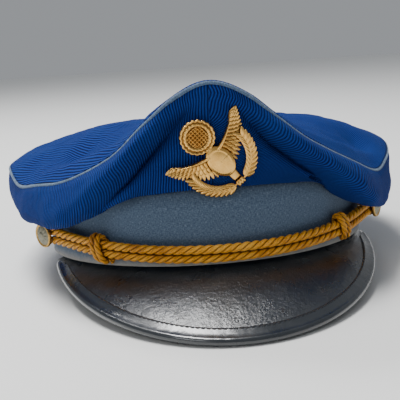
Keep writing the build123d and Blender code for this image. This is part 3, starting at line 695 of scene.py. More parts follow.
def side_points(turn, t, inset=0.0, fullness=1.0):
    """The crown's side: turn round the cap in degrees, t from 0 at the band to 1 at the edge.

    inset moves the sheet inward, and fullness is how much of the outward swellings it takes up.
    """
    foot_reach = band_reach(turn) + 0.3
    foot_height = BAND_MIDDLE_HEIGHT + BAND_SLOPE * foot_reach * np.cos(np.radians(turn)) - 0.5
    head_reach, head_height = edge_reach(turn) - 0.4, edge_height(turn) - 0.5
    arch = np.sin(np.pi * t**0.85)
    lobe_out, lobe_down = fullness * round_curve(LOBE_OUT, turn), fullness * round_curve(LOBE_DOWN, turn)
    roll, hollow = fullness * round_curve(ROLL_OUT, turn), round_curve(HOLLOW_DEPTH, turn)
    place = round_curve(HOLLOW_PLACE, turn)
    roll_place = 0.5 * (1 + place)
    ends = np.clip(t / 0.08, 0, 1) * np.clip((1 - t) / 0.06, 0, 1)
    reach = foot_reach + (head_reach - foot_reach) * t + lobe_out * arch
    reach = reach + ends * (roll * hump(t, roll_place, 0.55 * (1 - place)) - hollow * hump(t, place, 0.18))
    height = foot_height + (head_height - foot_height) * t - lobe_down * np.sin(np.pi * t**0.75)
    height = height - 0.25 * roll * ends * hump(t, roll_place, 0.3)
    return polar(turn, reach - inset, height)


print("the front lobe hangs out", round(float(round_curve(LOBE_OUT, -48)), 1), "mm")

# %% [markdown]
# ### Cutting the four quarters
#
# Each quarter is a grid on that surface between two seams, creased a little by noise. Its pattern
# coordinates are lengths along the cloth, measured from the seam, and are turned so that the ribs
# run at the angle at which the maker laid that panel. The same lengths give its flat size.

# %% Crown quarters
def folds(points, t, turn):
    """Small creases and dents of old, handled cloth, fading out at the seams and on the front."""
    soft = np.clip((np.abs(turn + 2) - 14) / 26, 0.12, 1)
    fade = np.clip(t / 0.12, 0, 1) * np.clip((1 - t) / 0.10, 0, 1)
    return soft * fade * (1.5 * fractal(points, 26, 2, 3.7) + 0.5 * fractal(points, 9, 2, 11.3))


def crown_panel(name, first, last, rib_lean):
    """One quarter of the side, with its pattern coordinates turned so that ribs run at rib_lean."""
    turn = np.linspace(first, last, round(abs(last - first) * 1.4) + 1)[:, None]
    t = np.linspace(0, 1, 61)[None, :]
    points = side_points(turn + 0 * t, t + 0 * turn)
    ahead = np.gradient(points, axis=0)
    up_side = np.gradient(points, axis=1)
    out = unit(np.cross(ahead, up_side))
    points = points + out * folds(points, t + 0 * turn, turn + 0 * t)[..., None]
    u = np.cumsum(np.linalg.norm(np.diff(points, axis=0, prepend=points[:1]), axis=2), axis=0)
    v = np.cumsum(np.linalg.norm(np.diff(points, axis=1, prepend=points[:, :1]), axis=2), axis=1)
    if first < 0:
        u = u - u[-1:]
    lean = math.radians(rib_lean)
    uv = np.stack([u * math.cos(lean) - v * math.sin(lean), u * math.sin(lean) + v * math.cos(lean)], -1)
    obj = grid_piece(name, points, uv)
    add_thickness(obj, 1.5)
    width, length = float(np.ptp(u)) * MM, float(v[:, -1].max()) * MM
    area = float(np.mean(v[:, -1])) * float(np.mean(np.ptp(u, axis=0))) * MM**2
    return obj, width, length, area


FRONT_SEAM = -3.5
QUARTERS = (("quarter_front_left", -90, FRONT_SEAM, 2), ("quarter_front_right", FRONT_SEAM, 90, 34),
            ("quarter_back_left", -180, -90, 20), ("quarter_back_right", 90, 180, 20))
for name, first, last, rib_lean in QUARTERS:
    panel, width, length, area = crown_panel("crown_" + name, first, last, rib_lean)
    finish_piece(panel, crown_cloth, "cap")
    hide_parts(name)
    print(name, round(width / MM), "by", round(length / MM), "mm, area", round(area * 1e4), "cm2")

# %% [markdown]
# ## The crown's top
#
# The top is one oval piece of the same cloth. With no wire left in its rim it rests on the lining
# and the air under it: highest in the middle, falling to its edge on both sides and behind, and
# pulled up at the front by the stay. A square grid is bent onto the oval, so there is no pole
# where the ribs would crowd together. A few dents near the temples are pinched by the drooping
# sides, and a soft ridge runs just behind the piping, where the seam allowance fills the cloth.

# %% Crown top
TOP_MIDDLE = 74.5
TOP_FULLNESS = 3.3
TOP_CELLS = 150
TOP_RIB_LEAN = -38
DENTS = ((-72, -50, 6.5, 12), (-60, -66, 3.0, 9), (-56, -30, -2.0, 16), (86, -46, 6.0, 10), (72, -58, 3.0, 9),
         (70, -30, -1.5, 14), (0, -64, 3.0, 26), (-92, 4, 2.0, 15), (92, 10, 2.5, 16), (-20, 60, 1.8, 34),
         (34, 84, 2.2, 22), (48, -20, 2.5, 30))


def top_grid(cells, shrink):
    """Plan points of an oval sheet, from a square grid bent onto the edge's ellipse."""
    line = np.linspace(-1, 1, cells)
    grid_u, grid_v = np.meshgrid(line, line, indexing="ij")
    x = grid_u * np.sqrt(1 - grid_v**2 / 2) * (EDGE_HALF_WIDTH - shrink)
    y = grid_v * np.sqrt(1 - grid_u**2 / 2) * ((EDGE_FRONT + EDGE_BACK) / 2 - shrink)
    return x, y + (EDGE_BACK - EDGE_FRONT) / 2


def top_height(x, y, drop=0.0, ridge=1.0):
    """Height of the top sheet over a plan point, lowered by drop everywhere but at the rim."""
    turn = np.degrees(np.arctan2(x, -y))
    share = np.clip(np.hypot(x, y) / (edge_reach(turn) - 0.5), 0, 1)
    rim = np.clip((1 - share) / 0.08, 0, 1)
    height = TOP_MIDDLE + (edge_height(turn) + 0.4 - TOP_MIDDLE) * share**TOP_FULLNESS
    for dent_x, dent_y, depth, size in DENTS:
        height = height - rim * depth * np.exp(-(((x - dent_x)**2 + (y - dent_y)**2) / size**2))
    seam_fill = ridge * 2.2 * np.exp(-((share - 0.93) / 0.035)**2) * np.clip((60 - np.abs(turn)) / 20, 0, 1)
    return height + seam_fill - drop


top_x, top_y = top_grid(TOP_CELLS, 0.5)
top_points = np.stack([top_x, top_y, top_height(top_x, top_y)], -1)
top_turn = np.degrees(np.arctan2(top_x, -top_y))
rim_fade = np.clip((1 - np.hypot(top_x, top_y) / (edge_reach(top_turn) - 0.5)) / 0.08, 0, 1)
sag = 1.3 * fractal(top_points, 30, 3, 5.1) + 0.4 * fractal(top_points, 8, 2, 8.8)
top_points[..., 2] += rim_fade * sag
lean = math.radians(TOP_RIB_LEAN)
top_uv = np.stack([top_x * math.cos(lean) - top_y * math.sin(lean),
                   top_x * math.sin(lean) + top_y * math.cos(lean)], -1)
crown_top = grid_piece("crown_top_cloth", top_points, top_uv)
add_thickness(crown_top, 1.5)
finish_piece(crown_top, crown_cloth, "cap")
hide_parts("crown_top")

# %% [markdown]
# ## Stiffener, lining and sweat shield
#
# Behind the front hangs a piece of buckram, a starched open canvas, that holds it up between the
# hollows. The satin lining is cut smaller than the cloth, so it hangs straighter and takes up
# little of the swellings. Under its top sits a clear film that keeps hair oil off the satin.

# %% Linings
def inner_side(name, first, last, low, high, inset, fullness, thickness, material, replaced):
    turn = np.linspace(first, last, round(abs(last - first) * 0.8) + 1)[:, None]
    t = np.linspace(low, high, 31)[None, :]
    points = side_points(turn + 0 * t, t + 0 * turn, inset, fullness)
    obj = grid_piece(name, points, np.stack(np.broadcast_arrays(turn * 1.8, t * 45), -1))
    add_thickness(obj, thickness)
    finish_piece(obj, material, "cap")
    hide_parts(replaced)
    return obj


def inner_top(name, drop, shrink, thickness, material, slot, replaced):
    x, y = top_grid(70, shrink)
    obj = grid_piece(name, np.stack([x, y, top_height(x, y, drop, 0.0)], -1), np.stack([x, y], -1))
    add_thickness(obj, thickness)
    finish_piece(obj, material, "cap")
    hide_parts(replaced)
    return obj


inner_side("front_buckram", -30, 30, 0.03, 0.94, 2.0, 0.8, 0.9, buckram, "front_stiffener")
inner_side("front_spring_stay", -3.75, 3.75, 0.03, 0.92, 3.0, 0.8, 0.5, spring_steel,
           "front_stay")
inner_side("lining_side_satin", -180, 180, 0.02, 0.955, 3.6, 0.35, 0.4, lining_satin, "lining_side")
inner_top("lining_top_satin", 2.6, 5.0, 0.4, lining_satin, "satin", "lining_top")
inner_top("sweat_shield_film", 3.9, 34.0, 0.2, shield_film, "clear_film", "sweat_shield")
print("inner pieces made")

# %% [markdown]
# ## Piping
#
# The edge seam is covered by a strip of band cloth folded over a thin cord. It shows as a round
# bead of steady width that wanders a little with the seam. A closed tube along the edge curve
# does this, and it half sinks into the two cloths that it joins.

# %% Piping
PIPING_RADIUS = 1.15
edge_turns = np.linspace(-180, 180, 721)[:-1]
edge_path = polar(edge_turns, edge_reach(edge_turns) + 0.2, edge_height(edge_turns) + 0.1)
edge_path[:, 2] += 0.25 * fractal(edge_path, 14, 2, 2.2)
piping = tube_piece("crown_piping_cord", edge_path, polar(edge_turns, 1.0, 0.0), PIPING_RADIUS, 12, True)
outward(piping)
finish_piece(piping, piping_wool, "cap")
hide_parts("crown_piping")
print("piping", round(float(along_length(edge_path)[-1])), "mm long")

# %% [markdown]
# ## The band
#
# The band cloth is pulled flat round the stiffener and turned under at the bottom. Its section is
# a thin closed loop: up the outside, over the top, down the inside and under. Round the cap it
# has slow, shallow waves of cloth that has shrunk and stretched.

# %% Band
BAND_CLOTH = 1.6
BAND_WALL = 4.3
band_turns = np.linspace(-180, 180, 541)[:-1][:, None]


def band_top(turn):
    reach = band_reach(turn)
    return BAND_MIDDLE_HEIGHT + BAND_SLOPE * reach * np.cos(np.radians(turn))


outside_levels = np.array([0.0, 0.12, 0.45, 1.0, 2.0, 4.0, 8.0, 13.0, 18.0, 23.0, 28.0])
outside_insets = np.array([1.3, 0.5, 0.1, 0.0, 0.12, 0.05, 0.0, 0.0, 0.0, 0.0, 0.0])
ring_top = band_top(band_turns[:, 0]) - 0.3
section = list(zip(outside_levels, outside_insets))
section += [(ring_top, 0.0), (ring_top, BAND_CLOTH), (1.0, BAND_CLOTH), (1.0, BAND_WALL),
            (0.1, BAND_WALL), (0.0, 2.6)]
band_points = np.stack([polar(band_turns[:, 0], band_reach(band_turns[:, 0], inset), level)
                        for level, inset in section], 1)
waves = fractal(band_points[:, :11], 34, 2, 6.6) * 0.5
face_out = polar(band_turns, 1.0, 0.0)
band_points[:, :11] += face_out * (waves * np.clip(outside_levels / 4, 0, 1))[..., None]
band_length = along_length(band_points[:, 6])
band_levels = np.concatenate([outside_levels, [36, 38, 40, 42, 43, 44]])
band_uv = np.stack(np.broadcast_arrays(band_length[:, None], band_levels[None, :]), -1)
band = grid_piece("band_cloth_wool", band_points, band_uv, wrap_rows=True, wrap_columns=True)
outward(band)
finish_piece(band, band_cloth_wool, "cap")
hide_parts("band_cloth")
print("band", round(float(band_length[-1])), "mm round")

# %% [markdown]
# ## Sweatband and bow
#
# Inside runs a strip of brown leather with a slight bow to its face, folded over a reed at the
# bottom and stitched there, with a small flat ribbon bow where its ends meet at the back.

# %% Sweatband
sweat_turns = np.linspace(-180, 180, 361)[:-1]
levels = np.linspace(0, 1, 15)
sweat_top = band_top(sweat_turns) - 2.2
sweat_rows = []
for share in levels:
    inset = 3.15 + 0.35 * math.sin(math.pi * share) + 0.1
    sweat_rows.append(polar(sweat_turns, band_reach(sweat_turns, inset), 2.7 + share * (sweat_top - 2.7)))
sweat_points = np.stack(sweat_rows, 1)
sweat_points += polar(sweat_turns, 1.0, 0.0)[:, None, :] * 0.15 * fractal(sweat_points, 20, 2, 4.4)[..., None]
sweat_uv = np.stack(np.broadcast_arrays(along_length(sweat_points[:, 7])[:, None], levels[None, :] * 32), -1)
sweatband = grid_piece("sweatband_leather", sweat_points, sweat_uv, wrap_rows=True)
add_thickness(sweatband, 1.0)
finish_piece(sweatband, sweat_leather, "cap")
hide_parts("sweatband")


def bow_loop(side, count=28):
    """One flat loop of the bow: a band that swells from the knot and comes back."""
    angle = np.linspace(0, 2 * np.pi, count)[:-1]
    x = side * (5.2 - 4.8 * np.cos(angle))
    z = 20 + 2.4 * np.sin(angle) * (0.4 + 0.6 * np.abs(np.sin(angle / 2)))
    return np.stack([x, np.full_like(x, BAND_HALF_LENGTH - 5.9), z], -1)


bow_parts = [tube_rows(bow_loop(side), np.tile([[0.0, 1.0, 0.0]], (27, 1)), 0.75, 8, closed=True)
             for side in (-1, 1)]
knot_path = np.stack([np.zeros(5), np.full(5, BAND_HALF_LENGTH - 5.9), 20 + np.linspace(-1.6, 1.6, 5)], -1)
bow_points = np.concatenate([part.reshape(-1, 3) for part in bow_parts])
bow_faces = grid_faces(27, 8, True, True) + grid_faces(27, 8, True, True, start=27 * 8)
bow = outward(mesh_from_arrays("sweatband_bow_ribbon", to_row(bow_points), bow_faces, bow_points[:, :2]))
finish_piece(bow, bow_ribbon, "cap")
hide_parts("sweatband_bow")
bow_knot = tube_piece("sweatband_bow_knot", knot_path, np.tile([[1.0, 0.0, 0.0]], (5, 1)),
                      np.array([0.9, 1.4, 1.5, 1.4, 0.9]), 12)
finish_piece(bow_knot, bow_ribbon, "cap")

# %% [markdown]
# ## The visor
#
# The visor is a crescent of patent leather over a fibre core, cut to the band on the inside and
# to a half ellipse on the outside, and dished: it drops away from the band and is a little full
# in the middle. Its edge is bound with a folded strip, rolled round the rim and stitched through.

# %% Visor shape
VISOR_DEPTH, VISOR_HALF_WIDTH, VISOR_ROOT = 47.0, 93.0, 21.0
VISOR_DROP, VISOR_DROP_POWER, VISOR_CAMBER = 24.5, 1.14, 2.6
VISOR_THICKNESS = 2.5
VISOR_END_TURN = 69.0
visor_half_length = BAND_HALF_LENGTH + VISOR_DEPTH - VISOR_ROOT


def visor_reach(turn):
    return ellipse_reach(turn, VISOR_HALF_WIDTH, visor_half_length, VISOR_ROOT)


def visor_edge_height(turn):
    forward = (visor_reach(turn) * np.cos(np.radians(turn)) - VISOR_ROOT) / visor_half_length
    return -0.1 - VISOR_DROP * np.maximum(forward, 0)**VISOR_DROP_POWER


def visor_height(turn, reach):
    """The visor's top face, flat under the band and cambered beyond it."""
    inner = band_reach(turn, BAND_WALL)
    part = (reach - inner) / (visor_reach(turn) - inner)
    root = (band_reach(turn) - inner) / (visor_reach(turn) - inner)
    camber = VISOR_CAMBER * np.cos(np.radians(turn)) * 4 * (1 - part)
    return -0.1 + part * (visor_edge_height(turn) + 0.1) + camber * part - camber * np.minimum(part, root)


def visor_skin(name, drop, outset, material, thickness):
    turn = np.linspace(-VISOR_END_TURN, VISOR_END_TURN, 185)[:, None]
    share = np.linspace(0, 1, 45)[None, :]
    inner, outer = band_reach(turn, BAND_WALL - 0.4), visor_reach(turn) + outset
    reach = inner + (outer - inner) * share
    points = polar(turn + 0 * share, reach, visor_height(turn, np.minimum(reach, visor_reach(turn))) - drop)
    fade = np.clip((share - 0.15) / 0.2, 0, 1) * np.clip((1 - share) / 0.2, 0, 1)
    points[..., 2] += 0.22 * fractal(points, 22, 2, 9.1) * fade
    obj = grid_piece(name, points, points[..., :2])
    add_thickness(obj, thickness)
    return finish_piece(obj, material, "cap")


visor_shell = visor_skin("visor_patent_shell", 0.0, -0.1, visor_patent, 0.8)
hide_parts("visor_shell")
visor_lining = visor_skin("visor_lining_leather", 2.0, -0.1, visor_under, 0.5)
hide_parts("visor_lining")

# %% [markdown]
# The binding is drawn as one closed section that is swept round the rim: a thin flap on top, a
# full rounded bead at the edge, and the same flap underneath. The flap ends in a soft step, and
# the row of stitches sits just inside it.

# %% Visor binding
BINDING_FLAP = 5.6
BEAD_RADIUS = 2.1
binding_turns = np.linspace(-66, 66, 331)
sections = []
for turn in binding_turns:
    rim = float(visor_reach(turn))
    flap = min(BINDING_FLAP, 0.8 * (rim - float(band_reach(turn))))
    slope = float(visor_height(turn, rim - 0.5 * flap) - visor_edge_height(turn)) / (0.5 * flap)
    middle = np.array([rim - 0.9, float(visor_edge_height(turn)) - VISOR_THICKNESS / 2 + 0.2])
    inner_top = np.array([rim - flap, float(visor_height(turn, rim - flap))])
    bead = min(BEAD_RADIUS, 0.45 * flap + 0.9)
    tilt = math.atan(slope)
    ring = []
    for angle in np.linspace(118, -118, 17):
        spread = math.radians(angle) - tilt
        ring.append(middle + bead * np.array([math.cos(spread), math.sin(spread)]))
    top_flap = [inner_top + [0, 0.02], inner_top + [0.25, 0.38], inner_top + [0.9, 0.50 - 0.9 * slope]]
    blend = [inner_top + [0.55 * flap, 0.5 - 0.55 * flap * slope * 0.96]]
    low = [inner_top + [0.55 * flap, -VISOR_THICKNESS - 0.5 - 0.55 * flap * slope * 0.96],
           inner_top + [0.6, -VISOR_THICKNESS - 0.55 - 0.6 * slope], inner_top + [0, -VISOR_THICKNESS - 0.05],
           inner_top + [0.4, -1.3 - 0.4 * slope]]
    profile = np.array(top_flap + blend + ring + low)
    sections.append(polar(turn, profile[:, 0], profile[:, 1]))
binding_points = np.stack(sections, 0)
binding_uv = np.stack(np.broadcast_arrays(along_length(binding_points[:, 10])[:, None],
                                          np.arange(binding_points.shape[1])[None, :]), -1)
visor_binding = grid_piece("visor_binding_roll", binding_points, binding_uv, wrap_columns=True)
cap_ends(visor_binding, binding_points.shape[1], len(binding_turns))
finish_piece(visor_binding, binding_patent, "cap")
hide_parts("visor_binding")
print("binding", round(float(along_length(binding_points[:, 10])[-1])), "mm along the rim")

# %% [markdown]
# ### Stitches, by Geometry Nodes
#
# A row of stitches is one small thread shape repeated along a line. The tree below takes a curve,
# sets points on it at the stitch length, turns a short capsule along the line at each one, and
# makes the copies real. The same tree serves the visor's rim and the sweatband's seam.

# %% Stitch tree
STITCH_SIZES = (("Stitch spacing", 0.0024), ("Stitch length", 0.0018), ("Thread radius", 0.00028))


def stitch_tree(name, material):
    tree = bpy.data.node_groups.new(name, "GeometryNodeTree")
    tree.interface.new_socket("Geometry", in_out="INPUT", socket_type="NodeSocketGeometry")
    for label, value in STITCH_SIZES:
        socket = tree.interface.new_socket(label, in_out="INPUT", socket_type="NodeSocketFloat")
        socket.default_value = value
    tree.interface.new_socket("Geometry", in_out="OUTPUT", socket_type="NodeSocketGeometry")
    line = node(tree, "NodeGroupInput", output="Geometry")
    spacing, length, radius = (line.node.outputs[label] for label, _ in STITCH_SIZES)
    curve = node(tree, "GeometryNodeMeshToCurve", {"Mesh": line})
    points = node(tree, "GeometryNodeResampleCurve", {"Curve": curve, "Length": spacing}, mode="LENGTH")
    ball = node(tree, "GeometryNodeMeshIcoSphere", {"Radius": 1.0, "Subdivisions": 2})
    half = node(tree, "ShaderNodeMath", {0: length, 1: 0.5}, operation="MULTIPLY")
    size = node(tree, "ShaderNodeCombineXYZ", {0: radius, 1: radius, 2: half})
    tangent = node(tree, "GeometryNodeInputTangent")
    turned = node(tree, "FunctionNodeAlignRotationToVector", {"Vector": tangent}, axis="Z")
    copies = node(tree, "GeometryNodeInstanceOnPoints",
                  {"Points": points, "Instance": ball, "Rotation": turned, "Scale": size})
    real = node(tree, "GeometryNodeRealizeInstances", {0: copies})
    painted = node(tree, "GeometryNodeSetMaterial", {"Geometry": real, "Material": material})
    node(tree, "NodeGroupOutput", {0: painted})
    return tree


def stitch_row(name, path, tree, body, sizes, closed=False):
    """Stitches along a path of worn-cap points; sizes are spacing, length and radius in mm."""
    edges = [(i, (i + 1) % len(path)) for i in range(len(path) if closed else len(path) - 1)]
    mesh = bpy.data.meshes.new(name + "_line")
    mesh.from_pydata([tuple(p) for p in to_row(path)], edges, [])
    obj = bpy.data.objects.new(name + "_line", mesh)
    bpy.context.scene.collection.objects.link(obj)
    modifier = obj.modifiers.new("stitches", "NODES")
    modifier.node_group = tree
    inputs = [item for item in tree.interface.items_tree if item.in_out == "INPUT"][1:]
    for item, size in zip(inputs, sizes):
        modifier[item.identifier] = size * MM
    result = bpy.data.meshes.new_from_object(obj.evaluated_get(bpy.context.evaluated_depsgraph_get()))
    bpy.data.objects.remove(obj)
    made = bpy.data.objects.new(name, result)
    bpy.context.scene.collection.objects.link(made)
    finish_piece(made, thread_black, body)
    print(name, len(result.polygons), "faces")
    return made


stitches = stitch_tree("stitches_along_a_line", thread_black)
stitch_turns = np.linspace(-62, 62, 400)
stitch_reach = visor_reach(stitch_turns) - np.minimum(BINDING_FLAP, 0.8 * (
    visor_reach(stitch_turns) - band_reach(stitch_turns))) + 0.95
stitch_path = polar(stitch_turns, stitch_reach, visor_height(stitch_turns, stitch_reach) + 0.52)
stitch_row("visor_stitches", stitch_path, stitches, "cap", (2.5, 1.9, 0.26))
sweat_path = polar(sweat_turns, band_reach(sweat_turns, 4.45), np.full_like(sweat_turns, 4.6))
stitch_row("sweatband_stitches", sweat_path, stitches, "cap", (3.2, 2.2, 0.25), closed=True)

# %% [markdown]
# ## The chin cord
#
# One cord makes a closed loop: across the front in two runs, round a button post at each end.
# The path repeats the arcs it follows: end arc, side arcs, a straight tail to each button, a
# small spread, and a half turn round the post. Three strands wind round that path. Their phase
# grows with the distance along it, so the ridges slant the same way on both runs.

# %% Cord path
CORD_SPREAD, CORD_STAND, CORD_RADIUS = 2.3, 2.2, 2.2
CORD_LEAVE, CORD_TAIL, CORD_LOOP, CORD_BEND = math.radians(52.0), 28.0, 3.7, 14.0
CORD_STEP = 0.55
cord_out = CORD_STAND + CORD_RADIUS


def arc_points(centre, radius, first, last, height):
    """Points on an arc round an upright axis, with the outward vector at each."""
    count = max(2, round(abs(last - first) * radius / CORD_STEP))
    angle = np.linspace(first, last, count, endpoint=False)
    out = np.stack([np.sin(angle), -np.cos(angle), 0 * angle], -1)
    return np.array([centre[0], centre[1], height]) + radius * out, out


def sampled_bend(first, last, count=8):
    return np.linspace(first, last, count, endpoint=False)


def tail_profile():
    """The tail in its own plane: along (x) and up (y), from the band to the half turn's middle."""
    bend = math.acos(1 - (CORD_LOOP - CORD_SPREAD) / (2 * CORD_BEND))
    reach = 2 * CORD_BEND * math.sin(bend)
    straight = np.linspace(-CORD_TAIL, -reach, round((CORD_TAIL - reach) / CORD_STEP), endpoint=False)
    points = [np.stack([straight, np.full_like(straight, CORD_SPREAD)], -1)]
    angle = sampled_bend(0, bend)
    points.append(np.stack([-reach + CORD_BEND * np.sin(angle),
                            CORD_SPREAD + CORD_BEND * (1 - np.cos(angle))], -1))
    angle = sampled_bend(bend, 0)
    points.append(np.stack([-CORD_BEND * np.sin(angle), CORD_LOOP - CORD_BEND * (1 - np.cos(angle))], -1))
    angle = np.linspace(0, math.pi / 2, 11)
    points.append(np.stack([CORD_LOOP * np.sin(angle), CORD_LOOP * np.cos(angle)], -1))
    return np.concatenate(points)


def tail_points(side, level):
    """One half of the end at a button, from the band outward."""
    flat = tail_profile()
    out = np.array([side * math.sin(CORD_LEAVE), -math.cos(CORD_LEAVE), 0.0])
    along = np.array([side * math.cos(CORD_LEAVE), math.sin(CORD_LEAVE), 0.0])
    leave = np.array([-side * side_shift, 0, CORD_HEIGHT]) + out * (band_side_radius + cord_out)
    points = leave + (flat[:, :1] + CORD_TAIL) * along + level * flat[:, 1:] * np.array([0, 0, 1.0])
    return points, np.tile(out, (len(points), 1))


def cord_run(level):
    """One run from the left post round the front to the right post."""
    height = CORD_HEIGHT + level * CORD_SPREAD
    left, left_out = tail_points(-1, level)
    right, right_out = tail_points(1, level)
    arcs = [arc_points((side_shift, 0), band_side_radius + cord_out, -CORD_LEAVE, -arc_join, height),
            arc_points((0, -end_shift), BAND_END_RADIUS + cord_out, -arc_join, arc_join, height),
            arc_points((-side_shift, 0), band_side_radius + cord_out, arc_join, CORD_LEAVE, height)]
    points = [left[::-1][:-1]] + [a[0] for a in arcs] + [right[:-1]]
    outs = [left_out[::-1][:-1]] + [a[1] for a in arcs] + [right_out[:-1]]
    return np.concatenate(points), np.concatenate(outs)


upper, upper_out = cord_run(1)
lower, lower_out = cord_run(-1)
cord_path = tip(np.concatenate([upper, lower[::-1]]))
cord_side = np.concatenate([upper_out, lower_out[::-1]]) @ cord_turn.T
cord_length = along_length(np.vstack([cord_path, cord_path[:1]]))
print("cord", round(float(cord_length[-1])), "mm round")

# %% [markdown]
# Each strand is a tube of its own, laid on a helix round the path.

# %% Cord strands
STRANDS = 3
LAY_LENGTH = 14.3
STRAND_OFFSET = 1.24
STRAND_RADIUS = 1.16


def laid_strands(name, path, side, length, closed, turns, offset, radius, strands, corners=9):
    """Strands laid round a path, as one mesh; length is the distance at each path point."""
    ahead = np.roll(path, -1, 0) - np.roll(path, 1, 0) if closed else np.gradient(path, axis=0)
    ahead = unit(ahead)
    out = unit(side - (side * ahead).sum(1, keepdims=True) * ahead)
    over = np.cross(out, ahead)
    share = length[:len(path)] / length[-1]
    points, faces, uvs = [], [], []
    for strand in range(strands):
        angle = 2 * np.pi * (turns * share + strand / strands)
        across = np.cos(angle)[:, None] * out + np.sin(angle)[:, None] * over
        centre = path + offset * across
        rings = tube_rows(centre, across, radius, corners, closed=closed)
        faces += grid_faces(len(path), corners, closed, True, start=strand * len(path) * corners)
        if not closed:
            first = strand * len(path) * corners
            last = first + (len(path) - 1) * corners
            faces.append(tuple(range(first, first + corners)))
            faces.append(tuple(range(last, last + corners)))
        points.append(rings.reshape(-1, 3))
        uvs.append(np.stack(np.broadcast_arrays(np.arange(corners)[None, :] / corners,
                                                length[:len(path)][:, None]), -1).reshape(-1, 2))
    obj = mesh_from_arrays(name, to_row(np.concatenate(points)), faces, np.concatenate(uvs))
    return outward(obj)


cord_turns = round(float(cord_length[-1]) / LAY_LENGTH)
chin_cord = laid_strands("chin_cord_laid", cord_path, cord_side, cord_length, True, cord_turns,
                         STRAND_OFFSET, STRAND_RADIUS, STRANDS)
finish_piece(chin_cord, cord_rayon, "cap")
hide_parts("chin_cord")
print("cord turns", cord_turns, "faces", len(chin_cord.data.polygons))

# %% [markdown]
# ### Sliding knots
#
# Each knot is the end of the cord taken twice round both runs, so that it grips them and slides
# only when pushed. The wraps slant, and the cord in them is laid like the rest.

# %% Knots
KNOT_TURN = 42.0
WRAP_OUT, WRAP_UP, WRAP_SLANT, WRAP_PITCH = 3.4, 6.1, 2.6, 3.5
WRAPS = 2.0
KNOT_LAY_LENGTH, KNOT_STRAND_OFFSET, KNOT_STRAND_RADIUS = 10.0, 0.86, 0.86
knot_radius = band_side_radius + cord_out


def sliding_knot(name, side, body, node_name):
    turn_share = np.linspace(0, WRAPS, 150)
    angle = 2 * np.pi * turn_share - 0.5 * np.pi
    swell = 1 + 0.10 * np.sin(np.pi * turn_share / WRAPS)
    out_by = WRAP_OUT * swell * np.cos(angle)
    out_by = np.where(out_by < 0, out_by * 0.82, out_by)
    up_by = WRAP_UP * swell * np.sin(angle)
    along = WRAP_PITCH * (turn_share - WRAPS / 2) - WRAP_SLANT * np.sin(angle)
    bearing = np.radians(side * KNOT_TURN) + along / knot_radius
    out = np.stack([np.sin(bearing), -np.cos(bearing), 0 * bearing], -1)
    path = np.array([-side * side_shift, 0, CORD_HEIGHT]) + out * (knot_radius + out_by)[:, None]
    path = path + up_by[:, None] * np.array([0, 0, 1.0])
    across = out * np.cos(angle)[:, None] + np.array([0, 0, 1.0]) * np.sin(angle)[:, None]
    length = along_length(path)
    turns = float(length[-1]) / KNOT_LAY_LENGTH
    knot = laid_strands(name, tip(path), across @ cord_turn.T, length, False, turns,
                        KNOT_STRAND_OFFSET, KNOT_STRAND_RADIUS, STRANDS, 8)
    finish_piece(knot, cord_rayon, body)
    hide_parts(node_name)
    print(name, round(float(length[-1])), "mm of cord")


sliding_knot("knot_left_wraps", -1, "knot_left", "knot_left")
sliding_knot("knot_right_wraps", 1, "knot_right", "knot_right")

# %% [markdown]
# ## Side buttons
#
# Each button is a shallow brass dome with a rolled rim, once gilt, now dull. A maker would press
# a device into its face; here it is a plain pattern of rays round a small boss. The shape is a
# turned profile, with the rays as low ridges that follow the turn angle.

# %% Side buttons
BUTTON_FACE = CORD_RADIUS + 0.3
BUTTON_RAYS, BUTTON_ROPE_TURNS = 12, 36
BUTTON_INNER_FACE = 5.5
BUTTON_PROFILE = ((6.2, 0.1), (6.6, 0.0), (7.0, 0.3), (7.05, 0.9), (6.9, 1.5), (6.5, 1.9), (6.1, 1.8),
                  (5.8, 1.45), (5.55, 1.35), (5.2, 1.6), (4.8, 1.75), (4.4, 1.9), (4.0, 2.02), (3.4, 2.15),
                  (2.8, 2.25), (2.3, 2.3), (2.0, 2.55), (1.6, 2.75), (1.0, 2.85), (0.0, 2.9))


def button_place(side):
    """Centre of the post in the cord's loop, and the directions out, along and up."""
    out = np.array([side * math.sin(CORD_LEAVE), -math.cos(CORD_LEAVE), 0.0])
    along = np.array([side * math.cos(CORD_LEAVE), math.sin(CORD_LEAVE), 0.0])
    leave = np.array([-side * side_shift, 0, CORD_HEIGHT]) + out * (band_side_radius + cord_out)
    directions = [cord_turn @ way for way in (out, along, np.array([0, 0, 1.0]))]
    return tip(leave + along * CORD_TAIL), *directions


